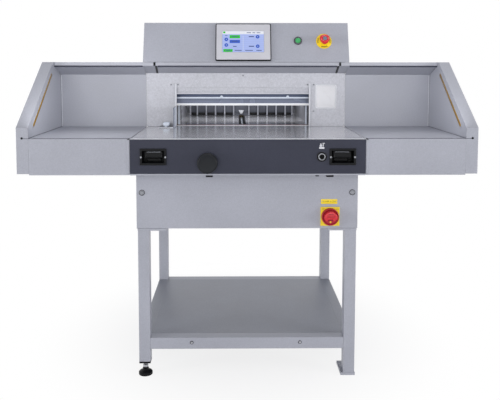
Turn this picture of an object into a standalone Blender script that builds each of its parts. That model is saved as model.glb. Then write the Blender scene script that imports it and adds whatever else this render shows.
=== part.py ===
# Electric paper cutter on a stand with two side tables.
# Metres, +Z up, front towards -Y, origin on the floor at the centre of the whole outline.

from math import asin, atan, cos, hypot, pi, radians, sin, tan

import bmesh
import bpy
from mathutils import Matrix, Vector

# Driving sizes of the whole machine: the table's height carries every other height
TABLE_TOP = 0.876
TABLE_DEPTH = 1.050
KNOB_REACH = 0.040
BODY_HEIGHT = 0.124
HOUSING_HEIGHT = 0.211
GUARD_HEIGHT = 0.255
HEAD_HEIGHT = 0.152
SIDE_TABLE_WIDTH = 0.3375
END_WALL = 0.040

# Paper slot
SLOT_WIDTH = 0.532
SLOT_CENTRE = -0.012
SLOT_HEIGHT = 0.154
SLOT_SIDE_ROOM = 0.042

# Distances back from the face of the dark front panel, and from lip to face panel
STAND_SETBACK = 0.120
LIP_SETBACK = 0.325
HEAD_LEAN_RUN = 0.052
LIP_OVERHANG = 0.092

# Clearances and sheet
GAP = 0.0003
RUNNING = 0.0003
OVERRUN = 0.010
SHEET = 0.002
PANEL_THICKNESS = 0.003
EDGE_ROUND = 0.0015

# Side frames, and the room between them and the covers
FRAME_THICKNESS = 0.030
FRAME_DEPTH = 0.130
COVER_SIDE_ROOM = 0.056
COVER_BACK_ROOM = 0.030

# Planes that follow from the sizes above
BODY_BOTTOM = TABLE_TOP - BODY_HEIGHT
HOUSING_BOTTOM = BODY_BOTTOM - HOUSING_HEIGHT
HEAD_BOTTOM = TABLE_TOP + GUARD_HEIGHT
HEAD_TOP = HEAD_BOTTOM + HEAD_HEIGHT
FRAME_INNER = SLOT_WIDTH / 2 + SLOT_SIDE_ROOM
FRAME_OUTER = FRAME_INNER + FRAME_THICKNESS
BODY_HALF = FRAME_OUTER + COVER_SIDE_ROOM
BACK_Y = (TABLE_DEPTH + KNOB_REACH) / 2
FRONT_Y = BACK_Y - TABLE_DEPTH
BODY_Y = FRONT_Y + PANEL_THICKNESS + GAP
STAND_Y = FRONT_Y + STAND_SETBACK
LIP_Y = FRONT_Y + LIP_SETBACK
HEAD_TOP_Y = LIP_Y + HEAD_LEAN_RUN
FACE_Y = LIP_Y + LIP_OVERHANG
SLOT_LEFT = SLOT_CENTRE - SLOT_WIDTH / 2
SLOT_RIGHT = SLOT_CENTRE + SLOT_WIDTH / 2
SLOT_TOP = TABLE_TOP + SLOT_HEIGHT
ABOVE_TABLE = TABLE_TOP + GAP
HEAD_LEAN = atan(HEAD_LEAN_RUN / HEAD_HEIGHT)
HEAD_FACE_HEIGHT = hypot(HEAD_LEAN_RUN, HEAD_HEIGHT)

# Knife, its carrier and its slanting stroke
PAPER_OPENING = 0.080
BLADE_THICKNESS = 0.010
BLADE_HEIGHT = 0.090
BLADE_OVERLAP = 0.015
CARRIER_THICKNESS = 0.030
CARRIER_LIFT = 0.030
CARRIER_LEFT_OVERLAP = 0.010
CARRIER_RIGHT_OVERLAP = 0.030
ROD_WIDTH = 0.024
ROD_THICKNESS = 0.012
ROD_FRONT_ROOM = 0.0034
ROD_INSET = 0.020
ROD_TOP_RISE = 0.034
SLANT = radians(15)

EDGE_Z = TABLE_TOP + PAPER_OPENING
CARRIER_BOTTOM = EDGE_Z + CARRIER_LIFT
CARRIER_LEFT = -FRAME_INNER - CARRIER_LEFT_OVERLAP
CARRIER_RIGHT = FRAME_INNER + CARRIER_RIGHT_OVERLAP
KNIFE_DROP = PAPER_OPENING - GAP
KNIFE_STROKE = KNIFE_DROP / cos(SLANT)
ROD_FRONT_Y = FACE_Y + SHEET + ROD_FRONT_ROOM
CARRIER_FRONT_Y = ROD_FRONT_Y + ROD_THICKNESS + GAP
CARRIER_BACK_Y = CARRIER_FRONT_Y + CARRIER_THICKNESS
BLADE_FRONT_Y = CARRIER_BACK_Y + GAP
CUT_Y = BLADE_FRONT_Y + BLADE_THICKNESS
FRAME_Y = BLADE_FRONT_Y
BODY_BACK_Y = FRAME_Y + FRAME_DEPTH + COVER_BACK_ROOM

# Bridge between the frames
BRIDGE_CLEARANCE = 0.014
BRIDGE_HEIGHT = 0.130
BRIDGE_PLATE = 0.012

BRIDGE_BOTTOM = EDGE_Z + BLADE_HEIGHT + BRIDGE_CLEARANCE
FRAME_TOP = BRIDGE_BOTTOM + BRIDGE_HEIGHT
BRIDGE_TOP = FRAME_TOP + GAP + BRIDGE_PLATE

# Clamp
CLAMP_DEPTH = 0.035
CLAMP_HEIGHT = 0.090
CLAMP_SET_BACK = 0.001
CLAMP_ABOVE_EDGE = 0.002

CLAMP_BOTTOM = EDGE_Z + CLAMP_ABOVE_EDGE
CLAMP_Y = CUT_Y + CLAMP_SET_BACK
CLAMP_BACK_Y = CLAMP_Y + CLAMP_DEPTH

# How round pieces are divided, how close two points count as one, and how near a face looks one way
ROUND_STEPS = 32
SMALL_STEPS = 20
SAME_POINT = 0.00005
FACING = cos(radians(8))


# Scene and collections

def clear_scene():
    for obj in list(bpy.data.objects):
        bpy.data.objects.remove(obj, do_unlink=True)


def new_collection(name):
    collection = bpy.data.collections.new(name)
    bpy.context.scene.collection.children.link(collection)
    return collection


def move_to(obj, collection):
    for old in list(obj.users_collection):
        old.objects.unlink(obj)
    collection.objects.link(obj)


def painted(name, color, roughness, metallic=0.0):
    mat = bpy.data.materials.new(name)
    mat.use_nodes = True
    shader = mat.node_tree.nodes["Principled BSDF"]
    shader.inputs["Base Color"].default_value = (*color, 1.0)
    shader.inputs["Roughness"].default_value = roughness
    shader.inputs["Metallic"].default_value = metallic
    return mat


clear_scene()
PARTS = new_collection("electric_paper_cutter")
CUTTERS = new_collection("cutters")

GREY_PAINT = (0.40, 0.41, 0.46)
PALE_PAINT = (0.50, 0.51, 0.55)
DARK_PAINT = (0.075, 0.08, 0.11)
SHELF_PAINT = (0.22, 0.23, 0.27)
BARE_STEEL = (0.55, 0.56, 0.58)
DARK_STEEL = (0.12, 0.12, 0.14)
BLACK_PLASTIC = (0.02, 0.02, 0.022)
RED_PLASTIC = (0.70, 0.03, 0.05)
YELLOW_PLASTIC = (0.85, 0.55, 0.01)
GREEN_PLASTIC = (0.08, 0.50, 0.16)
BRONZE = (0.60, 0.42, 0.20)
SCREEN_BLUE = (0.25, 0.45, 0.80)


def finish(obj, color, roughness=0.5, metallic=0.0):
    # Gives a sub-part its own material and its place in the parts collection
    obj.data.materials.clear()
    obj.data.materials.append(painted(obj.name + "_material", color, roughness, metallic))
    move_to(obj, PARTS)
    return obj


# Shape helpers

def middle(span):
    return (span[0] + span[1]) / 2


def box(name, x, y, z):
    bpy.ops.mesh.primitive_cube_add(size=1, location=(middle(x), middle(y), middle(z)))
    obj = bpy.context.active_object
    obj.name = name
    obj.data.name = name
    obj.scale = (x[1] - x[0], y[1] - y[0], z[1] - z[0])
    bpy.ops.object.transform_apply(location=False, rotation=False, scale=True)
    return obj


def smooth(obj):
    obj.data.shade_smooth()
    obj.data.set_sharp_from_angle(angle=radians(35))
    return obj


ALONG = {"z": (0, 0, 0), "-y": (pi / 2, 0, 0), "x": (0, pi / 2, 0), "-z": (pi, 0, 0)}


def rod(name, centre, radius, length, axis, steps=ROUND_STEPS):
    bpy.ops.mesh.primitive_cylinder_add(
        vertices=steps, radius=radius, depth=length, location=centre, rotation=ALONG[axis]
    )
    obj = bpy.context.active_object
    obj.name = name
    obj.data.name = name
    return smooth(obj)


def turned(name, profile, foot, axis, steps=ROUND_STEPS):
    # The profile's points are (radius, height above the foot), from the top down
    mesh = bpy.data.meshes.new(name)
    points = [(radius, 0, height) for radius, height in profile]
    mesh.from_pydata(points, [(i, i + 1) for i in range(len(points) - 1)], [])
    obj = bpy.data.objects.new(name, mesh)
    bpy.context.scene.collection.objects.link(obj)
    obj.location = foot
    obj.rotation_euler = ALONG[axis]
    screw = obj.modifiers.new("Turn", "SCREW")
    screw.steps = steps
    screw.render_steps = steps
    screw.use_merge_vertices = True
    screw.merge_threshold = SAME_POINT
    screw.use_smooth_shade = True
    return obj


def flat_curve(name, loops, half, cyclic=True):
    curve = bpy.data.curves.new(name, "CURVE")
    curve.dimensions = "2D"
    curve.fill_mode = "BOTH" if cyclic else "NONE"
    curve.extrude = half
    for loop in loops:
        spline = curve.splines.new("POLY")
        spline.points.add(len(loop) - 1)
        for point, (u, v) in zip(spline.points, loop):
            point.co = (u, v, 0, 1)
        spline.use_cyclic_u = cyclic
    obj = bpy.data.objects.new(name, curve)
    bpy.context.scene.collection.objects.link(obj)
    return obj


def as_mesh(curve_object):
    bpy.context.view_layer.update()
    graph = bpy.context.evaluated_depsgraph_get()
    name = curve_object.name
    mesh = bpy.data.meshes.new_from_object(curve_object.evaluated_get(graph))
    place = curve_object.matrix_world.copy()
    bpy.data.objects.remove(curve_object, do_unlink=True)
    work = bmesh.new()
    work.from_mesh(mesh)
    bmesh.ops.remove_doubles(work, verts=work.verts, dist=SAME_POINT)
    bmesh.ops.recalc_face_normals(work, faces=work.faces)
    work.to_mesh(mesh)
    work.free()
    mesh.name = name
    mesh.shade_flat()
    obj = bpy.data.objects.new(name, mesh)
    bpy.context.scene.collection.objects.link(obj)
    obj.matrix_world = place
    return obj


# An outline in Y and Z, or X and Z, or X and Y, as a solid between two planes

def prism_x(name, outline, x):
    obj = flat_curve(name, [outline], (x[1] - x[0]) / 2)
    obj.rotation_euler = (pi / 2, 0, pi / 2)
    obj.location = (middle(x), 0, 0)
    return as_mesh(obj)


def prism_y(name, loops, y):
    obj = flat_curve(name, loops, (y[1] - y[0]) / 2)
    obj.rotation_euler = (pi / 2, 0, 0)
    obj.location = (0, middle(y), 0)
    return as_mesh(obj)


def bent_sheet_x(name, path, x, wall=SHEET):
    # A sheet folded along a path in Y and Z, its seen side on the path's left
    obj = flat_curve(name, [path], (x[1] - x[0]) / 2, cyclic=False)
    obj.rotation_euler = (pi / 2, 0, pi / 2)
    obj.location = (middle(x), 0, 0)
    obj = as_mesh(obj)
    seen = Vector((path[0][1] - path[1][1], path[1][0] - path[0][0]))
    face = min(obj.data.polygons, key=lambda f: (f.center - first_middle(path)).length)
    outward = face.normal.x * seen.x + face.normal.y * seen.y
    thicken(obj, wall, -1 if outward > 0 else 1)
    return obj


def first_middle(path):
    return Vector(((path[0][0] + path[1][0]) / 2, (path[0][1] + path[1][1]) / 2, 0))


def thicken(obj, wall, offset=-1):
    solid = obj.modifiers.new("Wall", "SOLIDIFY")
    solid.thickness = wall
    solid.offset = offset
    solid.use_even_offset = True
    solid.use_quality_normals = True


def open_shell(obj, open_sides, wall=SHEET):
    # Deletes the faces that look along the open sides, and gives the rest a wall inwards
    work = bmesh.new()
    work.from_mesh(obj.data)
    turn = obj.rotation_euler.to_matrix()
    gone = [f for f in work.faces if any((turn @ f.normal).dot(Vector(s)) > FACING for s in open_sides)]
    bmesh.ops.delete(work, geom=gone, context="FACES")
    work.to_mesh(obj.data)
    work.free()
    thicken(obj, wall)
    return obj


def open_shell_world(obj, open_sides):
    bpy.context.view_layer.update()
    obj.data.transform(obj.matrix_world)
    obj.matrix_world = Matrix.Identity(4)
    return open_shell(obj, open_sides)


UP, DOWN = (0, 0, 1), (0, 0, -1)
FRONT, REAR = (0, -1, 0), (0, 1, 0)


def rounded(obj, width=EDGE_ROUND, segments=2):
    bevel = obj.modifiers.new("Edges", "BEVEL")
    bevel.width = width
    bevel.segments = segments
    bevel.limit_method = "ANGLE"
    bevel.angle_limit = radians(40)
    bevel.use_clamp_overlap = True
    return obj


def hide_tool(obj):
    move_to(obj, CUTTERS)
    obj.hide_render = True
    obj.display_type = "WIRE"


def combine(target, other, operation):
    boolean = target.modifiers.new(operation.title(), "BOOLEAN")
    boolean.operation = operation
    boolean.object = other
    hide_tool(other)


def cut(target, *cutters):
    for cutter in cutters:
        combine(target, cutter, "DIFFERENCE")
    return target


def join(target, *others):
    for other in others:
        combine(target, other, "UNION")
    return target


def grown(span, by):
    return (span[0] - by, span[1] + by)


def around(centre, size):
    return (centre - size / 2, centre + size / 2)


def put_origin(obj, point):
    obj.data.transform(Matrix.Translation(obj.location - Vector(point)))
    obj.location = point
    return obj


def hang_on(parent, *children):
    for child in children:
        child.parent = parent


# Stand: two welded sides, two rails, a shelf, feet and floor plates

STAND_INSET = 0.0055
LEG = 0.040
LEG_WALL = 0.002
LEG_PITCH = 0.619
STAND_PLATE = 0.0077
STAND_PLATE_WIDTH = 0.100
STAND_PLATE_LIP = 0.001
LEFT_LEG_BOTTOM = 0.047
LEG_END_PLATE = 0.007
BASE_PLATE = 0.010
BASE_PLATE_WIDTH = 0.050
BASE_PLATE_LENGTH = 0.090
BASE_PLATE_LIP = 0.002
BASE_HOLE_RADIUS = 0.006
STEM_RADIUS = 0.006
FOOT_RADIUS = 0.025
FOOT_THICKNESS = 0.010
FOOT_RIM = 0.0025
FOOT_COLLAR_RADIUS = 0.011
FOOT_COLLAR_TOP = 0.022
STEM_TOP = 0.085
RAIL_BOTTOM = 0.100
RAIL_HEIGHT = 0.041
SHELF_FLANGE = 0.036
SHELF_RISE = 0.0005

STAND_OUTER = BODY_HALF - STAND_INSET
LEG_INNER = STAND_OUTER - LEG
REAR_LEG_Y = STAND_Y + LEG_PITCH
STAND_TOP = HOUSING_BOTTOM - GAP
STAND_PLATE_BOTTOM = STAND_TOP - STAND_PLATE


def leg_span(front_y):
    return (front_y, front_y + LEG)


def stand_side(name, side, foot_z):
    outer = sorted((side * STAND_OUTER, side * LEG_INNER))
    plate_x = sorted((side * (STAND_OUTER + STAND_PLATE_LIP), side * (STAND_OUTER - STAND_PLATE_WIDTH)))
    plate_y = (STAND_Y - STAND_PLATE_LIP, REAR_LEG_Y + LEG + STAND_PLATE_LIP)
    body = box(name, plate_x, plate_y, (STAND_PLATE_BOTTOM, STAND_TOP))
    bores = []
    for where, front_y in (("front", STAND_Y), ("rear", REAR_LEG_Y)):
        depth = leg_span(front_y)
        join(body, box(name + "_leg_" + where, outer, depth, (foot_z, STAND_PLATE_BOTTOM + STAND_PLATE / 2)))
        if side > 0:
            plate = floor_plate(name + "_plate_" + where, front_y)
            join(body, plate)
        bottom = BASE_PLATE if side > 0 else LEFT_LEG_BOTTOM + LEG_END_PLATE
        bore_x, bore_y = grown(outer, -LEG_WALL), grown(depth, -LEG_WALL)
        bores.append(box(name + "_bore_" + where, bore_x, bore_y, (bottom, STAND_TOP + OVERRUN)))
        if side < 0:
            hole = rod(name + "_hole_" + where, (middle(outer), middle(depth), foot_z),
                       STEM_RADIUS + RUNNING, 2 * OVERRUN + LEG_END_PLATE, "z")
            bores.append(hole)
    cut(body, *bores)
    return finish(body, GREY_PAINT)


def floor_plate(name, front_y):
    x = (STAND_OUTER - BASE_PLATE_WIDTH, STAND_OUTER + BASE_PLATE_LIP)
    y = (front_y - BASE_PLATE_LIP, front_y + BASE_PLATE_LENGTH)
    plate = box(name, x, y, (0, BASE_PLATE))
    hole_y = front_y + LEG + (BASE_PLATE_LENGTH - LEG) / 2
    centre = (middle(x), hole_y, BASE_PLATE / 2)
    hole = rod(name + "_hole", centre, BASE_HOLE_RADIUS, BASE_PLATE + OVERRUN, "z")
    return cut(plate, hole)


def leveling_foot(name, front_y):
    collar_z = (FOOT_THICKNESS + FOOT_COLLAR_TOP) / 2
    profile = [
        (0, STEM_TOP),
        (STEM_RADIUS, STEM_TOP),
        (STEM_RADIUS, FOOT_COLLAR_TOP),
        (FOOT_COLLAR_RADIUS, FOOT_COLLAR_TOP),
        (FOOT_COLLAR_RADIUS, collar_z),
        (FOOT_RADIUS - FOOT_RIM, FOOT_THICKNESS),
        (FOOT_RADIUS, FOOT_THICKNESS - FOOT_RIM),
        (FOOT_RADIUS, 0),
        (0, 0),
    ]
    centre = (-(STAND_OUTER - LEG / 2), front_y + LEG / 2, 0)
    return finish(turned(name, profile, centre, "z"), BLACK_PLASTIC, 0.45)


def shelf_rail(name, front_y):
    x = (-LEG_INNER + GAP, LEG_INNER - GAP)
    y, z = leg_span(front_y), (RAIL_BOTTOM, RAIL_BOTTOM + RAIL_HEIGHT)
    rail = box(name, x, y, z)
    bore = box(name + "_bore", grown(x, OVERRUN), grown(y, -LEG_WALL), grown(z, -LEG_WALL))
    return finish(cut(rail, bore), GREY_PAINT)


def shelf_panel():
    top = RAIL_BOTTOM + RAIL_HEIGHT + SHELF_RISE
    x = (-LEG_INNER + GAP, LEG_INNER - GAP)
    y = (STAND_Y + LEG + GAP, REAR_LEG_Y - GAP)
    shell = box("shelf_panel", x, y, (top - SHELF_FLANGE, top))
    return finish(open_shell(shell, [DOWN]), SHELF_PAINT)


stand_side("stand_side_left", -1, LEFT_LEG_BOTTOM)
stand_side("stand_side_right", 1, BASE_PLATE / 2)
leveling_foot("leveling_foot_front", STAND_Y)
leveling_foot("leveling_foot_rear", REAR_LEG_Y)
shelf_rail("shelf_rail_front", STAND_Y)
shelf_rail("shelf_rail_rear", REAR_LEG_Y)
shelf_panel()


# Lower housing with its rear panel, mains inlet and main switch

HOUSING_INSET = 0.0015
SWITCH_INSET = 0.100
SWITCH_RISE = 0.043
SWITCH_PLATE_SIZE = 0.067
SWITCH_PLATE_THICKNESS = 0.004
SWITCH_CUTOUT_RADIUS = 0.024
KNOB_RADIUS = 0.031
KNOB_BASE_HEIGHT = 0.012
KNOB_STEM_RADIUS = 0.010
KNOB_STEM_LENGTH = 0.030
KNOB_BAR_WIDTH = 0.014
KNOB_BAR_HEIGHT = 0.018
VENT_LENGTH = 0.120
VENT_WIDTH = 0.006
VENT_PITCH = 0.016
VENT_COUNT = 6
VENT_INSET = 0.244
INLET_INSET = 0.154
INLET_RISE = 0.049
INLET_WIDTH = 0.050
INLET_HEIGHT = 0.034
INLET_DEPTH = 0.022
INLET_WALL = 0.003
INLET_FLANGE = 0.004

HOUSING_HALF = BODY_HALF - HOUSING_INSET
SWITCH_X = BODY_HALF - SWITCH_INSET
SWITCH_Z = HOUSING_BOTTOM + SWITCH_RISE
INLET_X = INLET_INSET - BODY_HALF
INLET_Z = HOUSING_BOTTOM + INLET_RISE
VENT_X = BODY_HALF - VENT_INSET
HOUSING_TOP = BODY_BOTTOM - GAP
HOUSING_BACK_Y = REAR_LEG_Y + LEG
HOUSING_FLOOR = HOUSING_BOTTOM + SHEET
SWITCH_PLATE_FRONT = STAND_Y - GAP - SWITCH_PLATE_THICKNESS


def lower_housing():
    shell = box("lower_housing", (-HOUSING_HALF, HOUSING_HALF), (STAND_Y, HOUSING_BACK_Y),
                (HOUSING_BOTTOM, HOUSING_TOP))
    open_shell(shell, [UP, REAR])
    centre = (SWITCH_X, STAND_Y, SWITCH_Z)
    cutout = rod("main_switch_cutout", centre, SWITCH_CUTOUT_RADIUS, 2 * OVERRUN, "-y")
    return finish(cut(shell, cutout), GREY_PAINT)


def rear_service_panel():
    back = (HOUSING_BACK_Y + GAP, HOUSING_BACK_Y + GAP + SHEET)
    x, z = (-HOUSING_HALF, HOUSING_HALF), (HOUSING_BOTTOM, HOUSING_TOP)
    panel = box("rear_service_panel", x, back, z)
    first = middle(z) - VENT_PITCH * (VENT_COUNT - 1) / 2
    for side in (-1, 1):
        for index in range(VENT_COUNT):
            vent_z = around(first + index * VENT_PITCH, VENT_WIDTH)
            vent_x = around(side * VENT_X, VENT_LENGTH)
            cut(panel, box(f"vent_{side}_{index}", vent_x, grown(back, OVERRUN), vent_z))
    hole_x = around(INLET_X, INLET_WIDTH + 2 * GAP)
    hole_z = around(INLET_Z, INLET_HEIGHT + 2 * GAP)
    cut(panel, box("inlet_cutout", hole_x, grown(back, OVERRUN), hole_z))
    return finish(panel, GREY_PAINT)


def mains_inlet():
    outside = HOUSING_BACK_Y + 2 * GAP + SHEET
    body_y = (outside - INLET_DEPTH, outside + INLET_FLANGE / 2)
    body = box("mains_inlet", around(INLET_X, INLET_WIDTH), body_y, around(INLET_Z, INLET_HEIGHT))
    flange = box("inlet_flange", around(INLET_X, INLET_WIDTH + 2 * INLET_FLANGE),
                 (outside, outside + INLET_FLANGE), around(INLET_Z, INLET_HEIGHT + 2 * INLET_FLANGE))
    pocket = box("inlet_pocket", around(INLET_X, INLET_WIDTH - 2 * INLET_WALL),
                 (outside - INLET_DEPTH + INLET_WALL, outside + INLET_FLANGE + OVERRUN),
                 around(INLET_Z, INLET_HEIGHT - 2 * INLET_WALL))
    join(body, flange)
    return finish(cut(body, pocket), BLACK_PLASTIC)


def main_switch():
    plate_y = (SWITCH_PLATE_FRONT, STAND_Y - GAP)
    plate = box("main_switch_plate", around(SWITCH_X, SWITCH_PLATE_SIZE), plate_y,
                around(SWITCH_Z, SWITCH_PLATE_SIZE))
    cut(plate, rod("switch_plate_hole", (SWITCH_X, STAND_Y, SWITCH_Z), KNOB_STEM_RADIUS + RUNNING,
                   2 * OVERRUN, "-y"))
    finish(plate, YELLOW_PLASTIC)
    foot = KNOB_STEM_LENGTH
    profile = [
        (0, foot + KNOB_BASE_HEIGHT),
        (KNOB_RADIUS - EDGE_ROUND, foot + KNOB_BASE_HEIGHT),
        (KNOB_RADIUS, foot + KNOB_BASE_HEIGHT - EDGE_ROUND),
        (KNOB_RADIUS, foot),
        (KNOB_STEM_RADIUS, foot),
        (KNOB_STEM_RADIUS, 0),
        (0, 0),
    ]
    stem_end = SWITCH_PLATE_FRONT - GAP + KNOB_STEM_LENGTH
    knob = turned("main_switch_knob", profile, (SWITCH_X, stem_end, SWITCH_Z), "-y")
    front = SWITCH_PLATE_FRONT - GAP - KNOB_BASE_HEIGHT
    bar = box("main_switch_bar", around(0, KNOB_BAR_WIDTH), around(0, 2 * (KNOB_RADIUS - EDGE_ROUND)),
              (foot + KNOB_BASE_HEIGHT / 2, foot + KNOB_BASE_HEIGHT + KNOB_BAR_HEIGHT))
    hang_on(knob, bar)
    join(knob, rounded(bar))
    return finish(knob, RED_PLASTIC, 0.35)


lower_housing()
rear_service_panel()
mains_inlet()
main_switch()


# Cast side frames and the bridge between them, with the studs that guide the knife carrier

FRAME_FOOT_DEPTH = 0.210
FRAME_FOOT_RISE = 0.048
STUD_RADIUS = 0.011
STUD_INSET = 0.118
STUD_RISE = 0.025
STUD_PLAY = 0.0003
SLEEVE_RADIUS = 0.0145
SLEEVE_PLAY = 0.0005
SLEEVE_HEIGHT = 0.100
CLAMP_SCREW_RADIUS = 0.008
CLAMP_SCREW_RISE = 0.017
CLAMP_SCREW_CLEARANCE = 0.012
CLAMP_JOURNAL_RADIUS = 0.005

FRAME_FOOT_TOP = BODY_BOTTOM + FRAME_FOOT_RISE
STUD_X = FRAME_INNER - STUD_INSET
STUD_Z = BRIDGE_BOTTOM + STUD_RISE
CLAMP_SCREW_BOTTOM = CLAMP_BOTTOM + CLAMP_SCREW_RISE
CLAMP_SCREW_Y = CLAMP_Y + CLAMP_DEPTH / 2


def side_frame(name, side):
    bottom = HOUSING_FLOOR + GAP
    outline = [
        (FRAME_Y, bottom),
        (FRAME_Y + FRAME_FOOT_DEPTH, bottom),
        (FRAME_Y + FRAME_FOOT_DEPTH, FRAME_FOOT_TOP),
        (FRAME_Y + FRAME_DEPTH, FRAME_FOOT_TOP),
        (FRAME_Y + FRAME_DEPTH, FRAME_TOP),
        (FRAME_Y, FRAME_TOP),
    ]
    x = sorted((side * FRAME_INNER, side * FRAME_OUTER))
    return finish(prism_x(name, outline, x), DARK_PAINT)


def frame_bridge():
    inner = FRAME_INNER - GAP
    beam = box("frame_bridge", (-inner, inner), (FRAME_Y, CLAMP_BACK_Y),
               (BRIDGE_BOTTOM, FRAME_TOP + BRIDGE_PLATE / 2))
    plate = box("bridge_plate", (-FRAME_OUTER, FRAME_OUTER), (FRAME_Y + GAP, FRAME_Y + FRAME_DEPTH),
                (FRAME_TOP + GAP, BRIDGE_TOP))
    join(beam, plate)
    for side in (-1, 1):
        stud_y = (CARRIER_FRONT_Y, FRAME_Y + OVERRUN)
        stud = rod(f"guide_stud_{side}", (side * STUD_X, middle(stud_y), STUD_Z), STUD_RADIUS,
                   stud_y[1] - stud_y[0], "-y")
        join(beam, stud)
    tall = BRIDGE_TOP - BRIDGE_BOTTOM
    sleeve_z = (BRIDGE_BOTTOM - OVERRUN, FRAME_TOP - CLAMP_SCREW_CLEARANCE)
    sleeve_hole = rod("sleeve_hole", (SLOT_CENTRE, CLAMP_SCREW_Y, middle(sleeve_z)),
                      SLEEVE_RADIUS + SLEEVE_PLAY, sleeve_z[1] - sleeve_z[0], "z")
    journal_hole = rod("journal_hole", (SLOT_CENTRE, CLAMP_SCREW_Y, BRIDGE_TOP - tall / 4),
                       CLAMP_JOURNAL_RADIUS + RUNNING, tall, "z")
    cut(beam, sleeve_hole, journal_hole)
    return finish(beam, DARK_PAINT)


side_frame("side_frame_left", -1)
side_frame("side_frame_right", 1)
frame_bridge()


# Table body, machine table, cutting stick and dark front panel

TABLE_THICKNESS = 0.020
PANEL_BOTTOM_RISE = 0.006
PANEL_TOP_DROP = 0.003
FLOOR_BORDER = 0.034
STICK_WIDTH = 0.010
STICK_DEPTH = 0.010
SCREW_SLOT_WIDTH = 0.020
SCREW_SLOT_START = 0.0025
SCREW_END_INSET = 0.0375
ROD_HOLE_PLAY = 0.003
PULLEY_NOTCH_WIDTH = 0.044
CONTROL_DROP = 0.061
CUT_SWITCH_INSET = 0.0775
SWITCH_BODY_WIDTH = 0.081
SWITCH_BODY_HEIGHT = 0.048
SWITCH_RIM = 0.004
SWITCH_DEPTH = 0.045
SWITCH_WALL = 0.003
HAND_WHEEL_X = -0.135
HAND_WHEEL_DROP = 0.079
HAND_WHEEL_RADIUS = 0.0325
HAND_SHAFT_RADIUS = 0.004
SOCKET_SPACING = 0.070
SOCKET_TUBE_RADIUS = 0.012

TABLE_BOTTOM = TABLE_TOP - TABLE_THICKNESS
BODY_TOP = TABLE_BOTTOM - GAP
SCREW_END_Y = BACK_Y - SCREW_END_INSET
ROD_Y = (ROD_FRONT_Y, ROD_FRONT_Y + ROD_THICKNESS)
ROD_TOP_X = CARRIER_RIGHT - ROD_INSET
ROD_TOP_Z = CARRIER_BOTTOM + ROD_TOP_RISE
CONTROL_Z = TABLE_TOP - CONTROL_DROP
HAND_WHEEL_Z = TABLE_TOP - HAND_WHEEL_DROP
CUT_SWITCH_X = BODY_HALF - CUT_SWITCH_INSET
SOCKET_X = CUT_SWITCH_X - SOCKET_SPACING


def rod_x_at(height):
    # The pull rod's centre line leans with the knife's stroke
    return ROD_TOP_X - (ROD_TOP_Z - height) * tan(SLANT)


def panel_holes(y):
    # Openings shared by the dark panel and the wall behind it
    holes = []
    for name, x in (("left", -CUT_SWITCH_X), ("right", CUT_SWITCH_X)):
        width, height = SWITCH_BODY_WIDTH + 2 * GAP, SWITCH_BODY_HEIGHT + 2 * GAP
        holes.append(box("switch_cutout_" + name, around(x, width), y, around(CONTROL_Z, height)))
    length = y[1] - y[0]
    shaft, socket = (HAND_WHEEL_X, middle(y), HAND_WHEEL_Z), (SOCKET_X, middle(y), CONTROL_Z)
    holes.append(rod("shaft_cutout", shaft, HAND_SHAFT_RADIUS + RUNNING, length, "-y"))
    holes.append(rod("socket_cutout", socket, SOCKET_TUBE_RADIUS + GAP, length, "-y"))
    return holes


def table_body():
    x, y = (-BODY_HALF, BODY_HALF), (BODY_Y, BACK_Y)
    shell = open_shell(box("table_body", x, y, (BODY_BOTTOM, BODY_TOP)), [UP])
    floor_y = (STAND_Y + FLOOR_BORDER, HOUSING_BACK_Y - FLOOR_BORDER)
    cut(shell, box("floor_opening", grown(x, -FLOOR_BORDER), floor_y, around(BODY_BOTTOM, 2 * OVERRUN)))
    cut(shell, *panel_holes((FRONT_Y - OVERRUN, BODY_Y + OVERRUN)))
    return finish(shell, GREY_PAINT)


def machine_table():
    inset = BODY_HALF - SHEET
    plate = box("machine_table", (-inset, inset), (BODY_Y, BACK_Y - SHEET), (TABLE_BOTTOM, TABLE_TOP))
    rounded(plate)
    through = grown((TABLE_BOTTOM, TABLE_TOP), OVERRUN)
    for side in (-1, 1):
        x = sorted((side * FRAME_INNER, side * FRAME_OUTER))
        frame_y = (FRAME_Y, FRAME_Y + FRAME_DEPTH)
        cut(plate, box(f"frame_notch_{side}", grown(x, GAP), grown(frame_y, GAP), through))
    groove_z = (TABLE_TOP - STICK_DEPTH - GAP, through[1])
    stick = box("stick_groove", stick_x(GAP), grown(stick_y(), GAP), groove_z)
    slot = box("screw_slot", around(SLOT_CENTRE, SCREW_SLOT_WIDTH),
               (CLAMP_BACK_Y + SCREW_SLOT_START, SCREW_END_Y + OVERRUN), through)
    notch = box("pulley_notch", around(SLOT_CENTRE, PULLEY_NOTCH_WIDTH), (SCREW_END_Y, BACK_Y), through)
    rod_x = (rod_x_at(through[0]), rod_x_at(through[1]))
    rod_slot = box("rod_slot", grown(rod_x, ROD_WIDTH / 2 + ROD_HOLE_PLAY), grown(ROD_Y, ROD_HOLE_PLAY),
                   through)
    cut(plate, stick, slot, notch, rod_slot)
    return finish(plate, BARE_STEEL, 0.25, 1.0)


def stick_x(grow):
    return (-FRAME_INNER + 2 * GAP - grow, FRAME_INNER - 2 * GAP + grow)


def stick_y():
    return around(CUT_Y, STICK_WIDTH)


def cutting_stick():
    stick = box("cutting_stick", stick_x(0), stick_y(), (TABLE_TOP - STICK_DEPTH, TABLE_TOP))
    return finish(stick, RED_PLASTIC, 0.5)


def front_panel():
    y = (FRONT_Y, FRONT_Y + PANEL_THICKNESS)
    z = (BODY_BOTTOM + PANEL_BOTTOM_RISE, TABLE_TOP - PANEL_TOP_DROP)
    panel = box("front_panel", (-BODY_HALF, BODY_HALF), y, z)
    for hole in panel_holes(grown(y, OVERRUN)):
        hole.name = "panel_" + hole.name
        cut(panel, hole)
    return finish(panel, DARK_PAINT, 0.45)


table_body()
machine_table()
cutting_stick()
front_panel()


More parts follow.
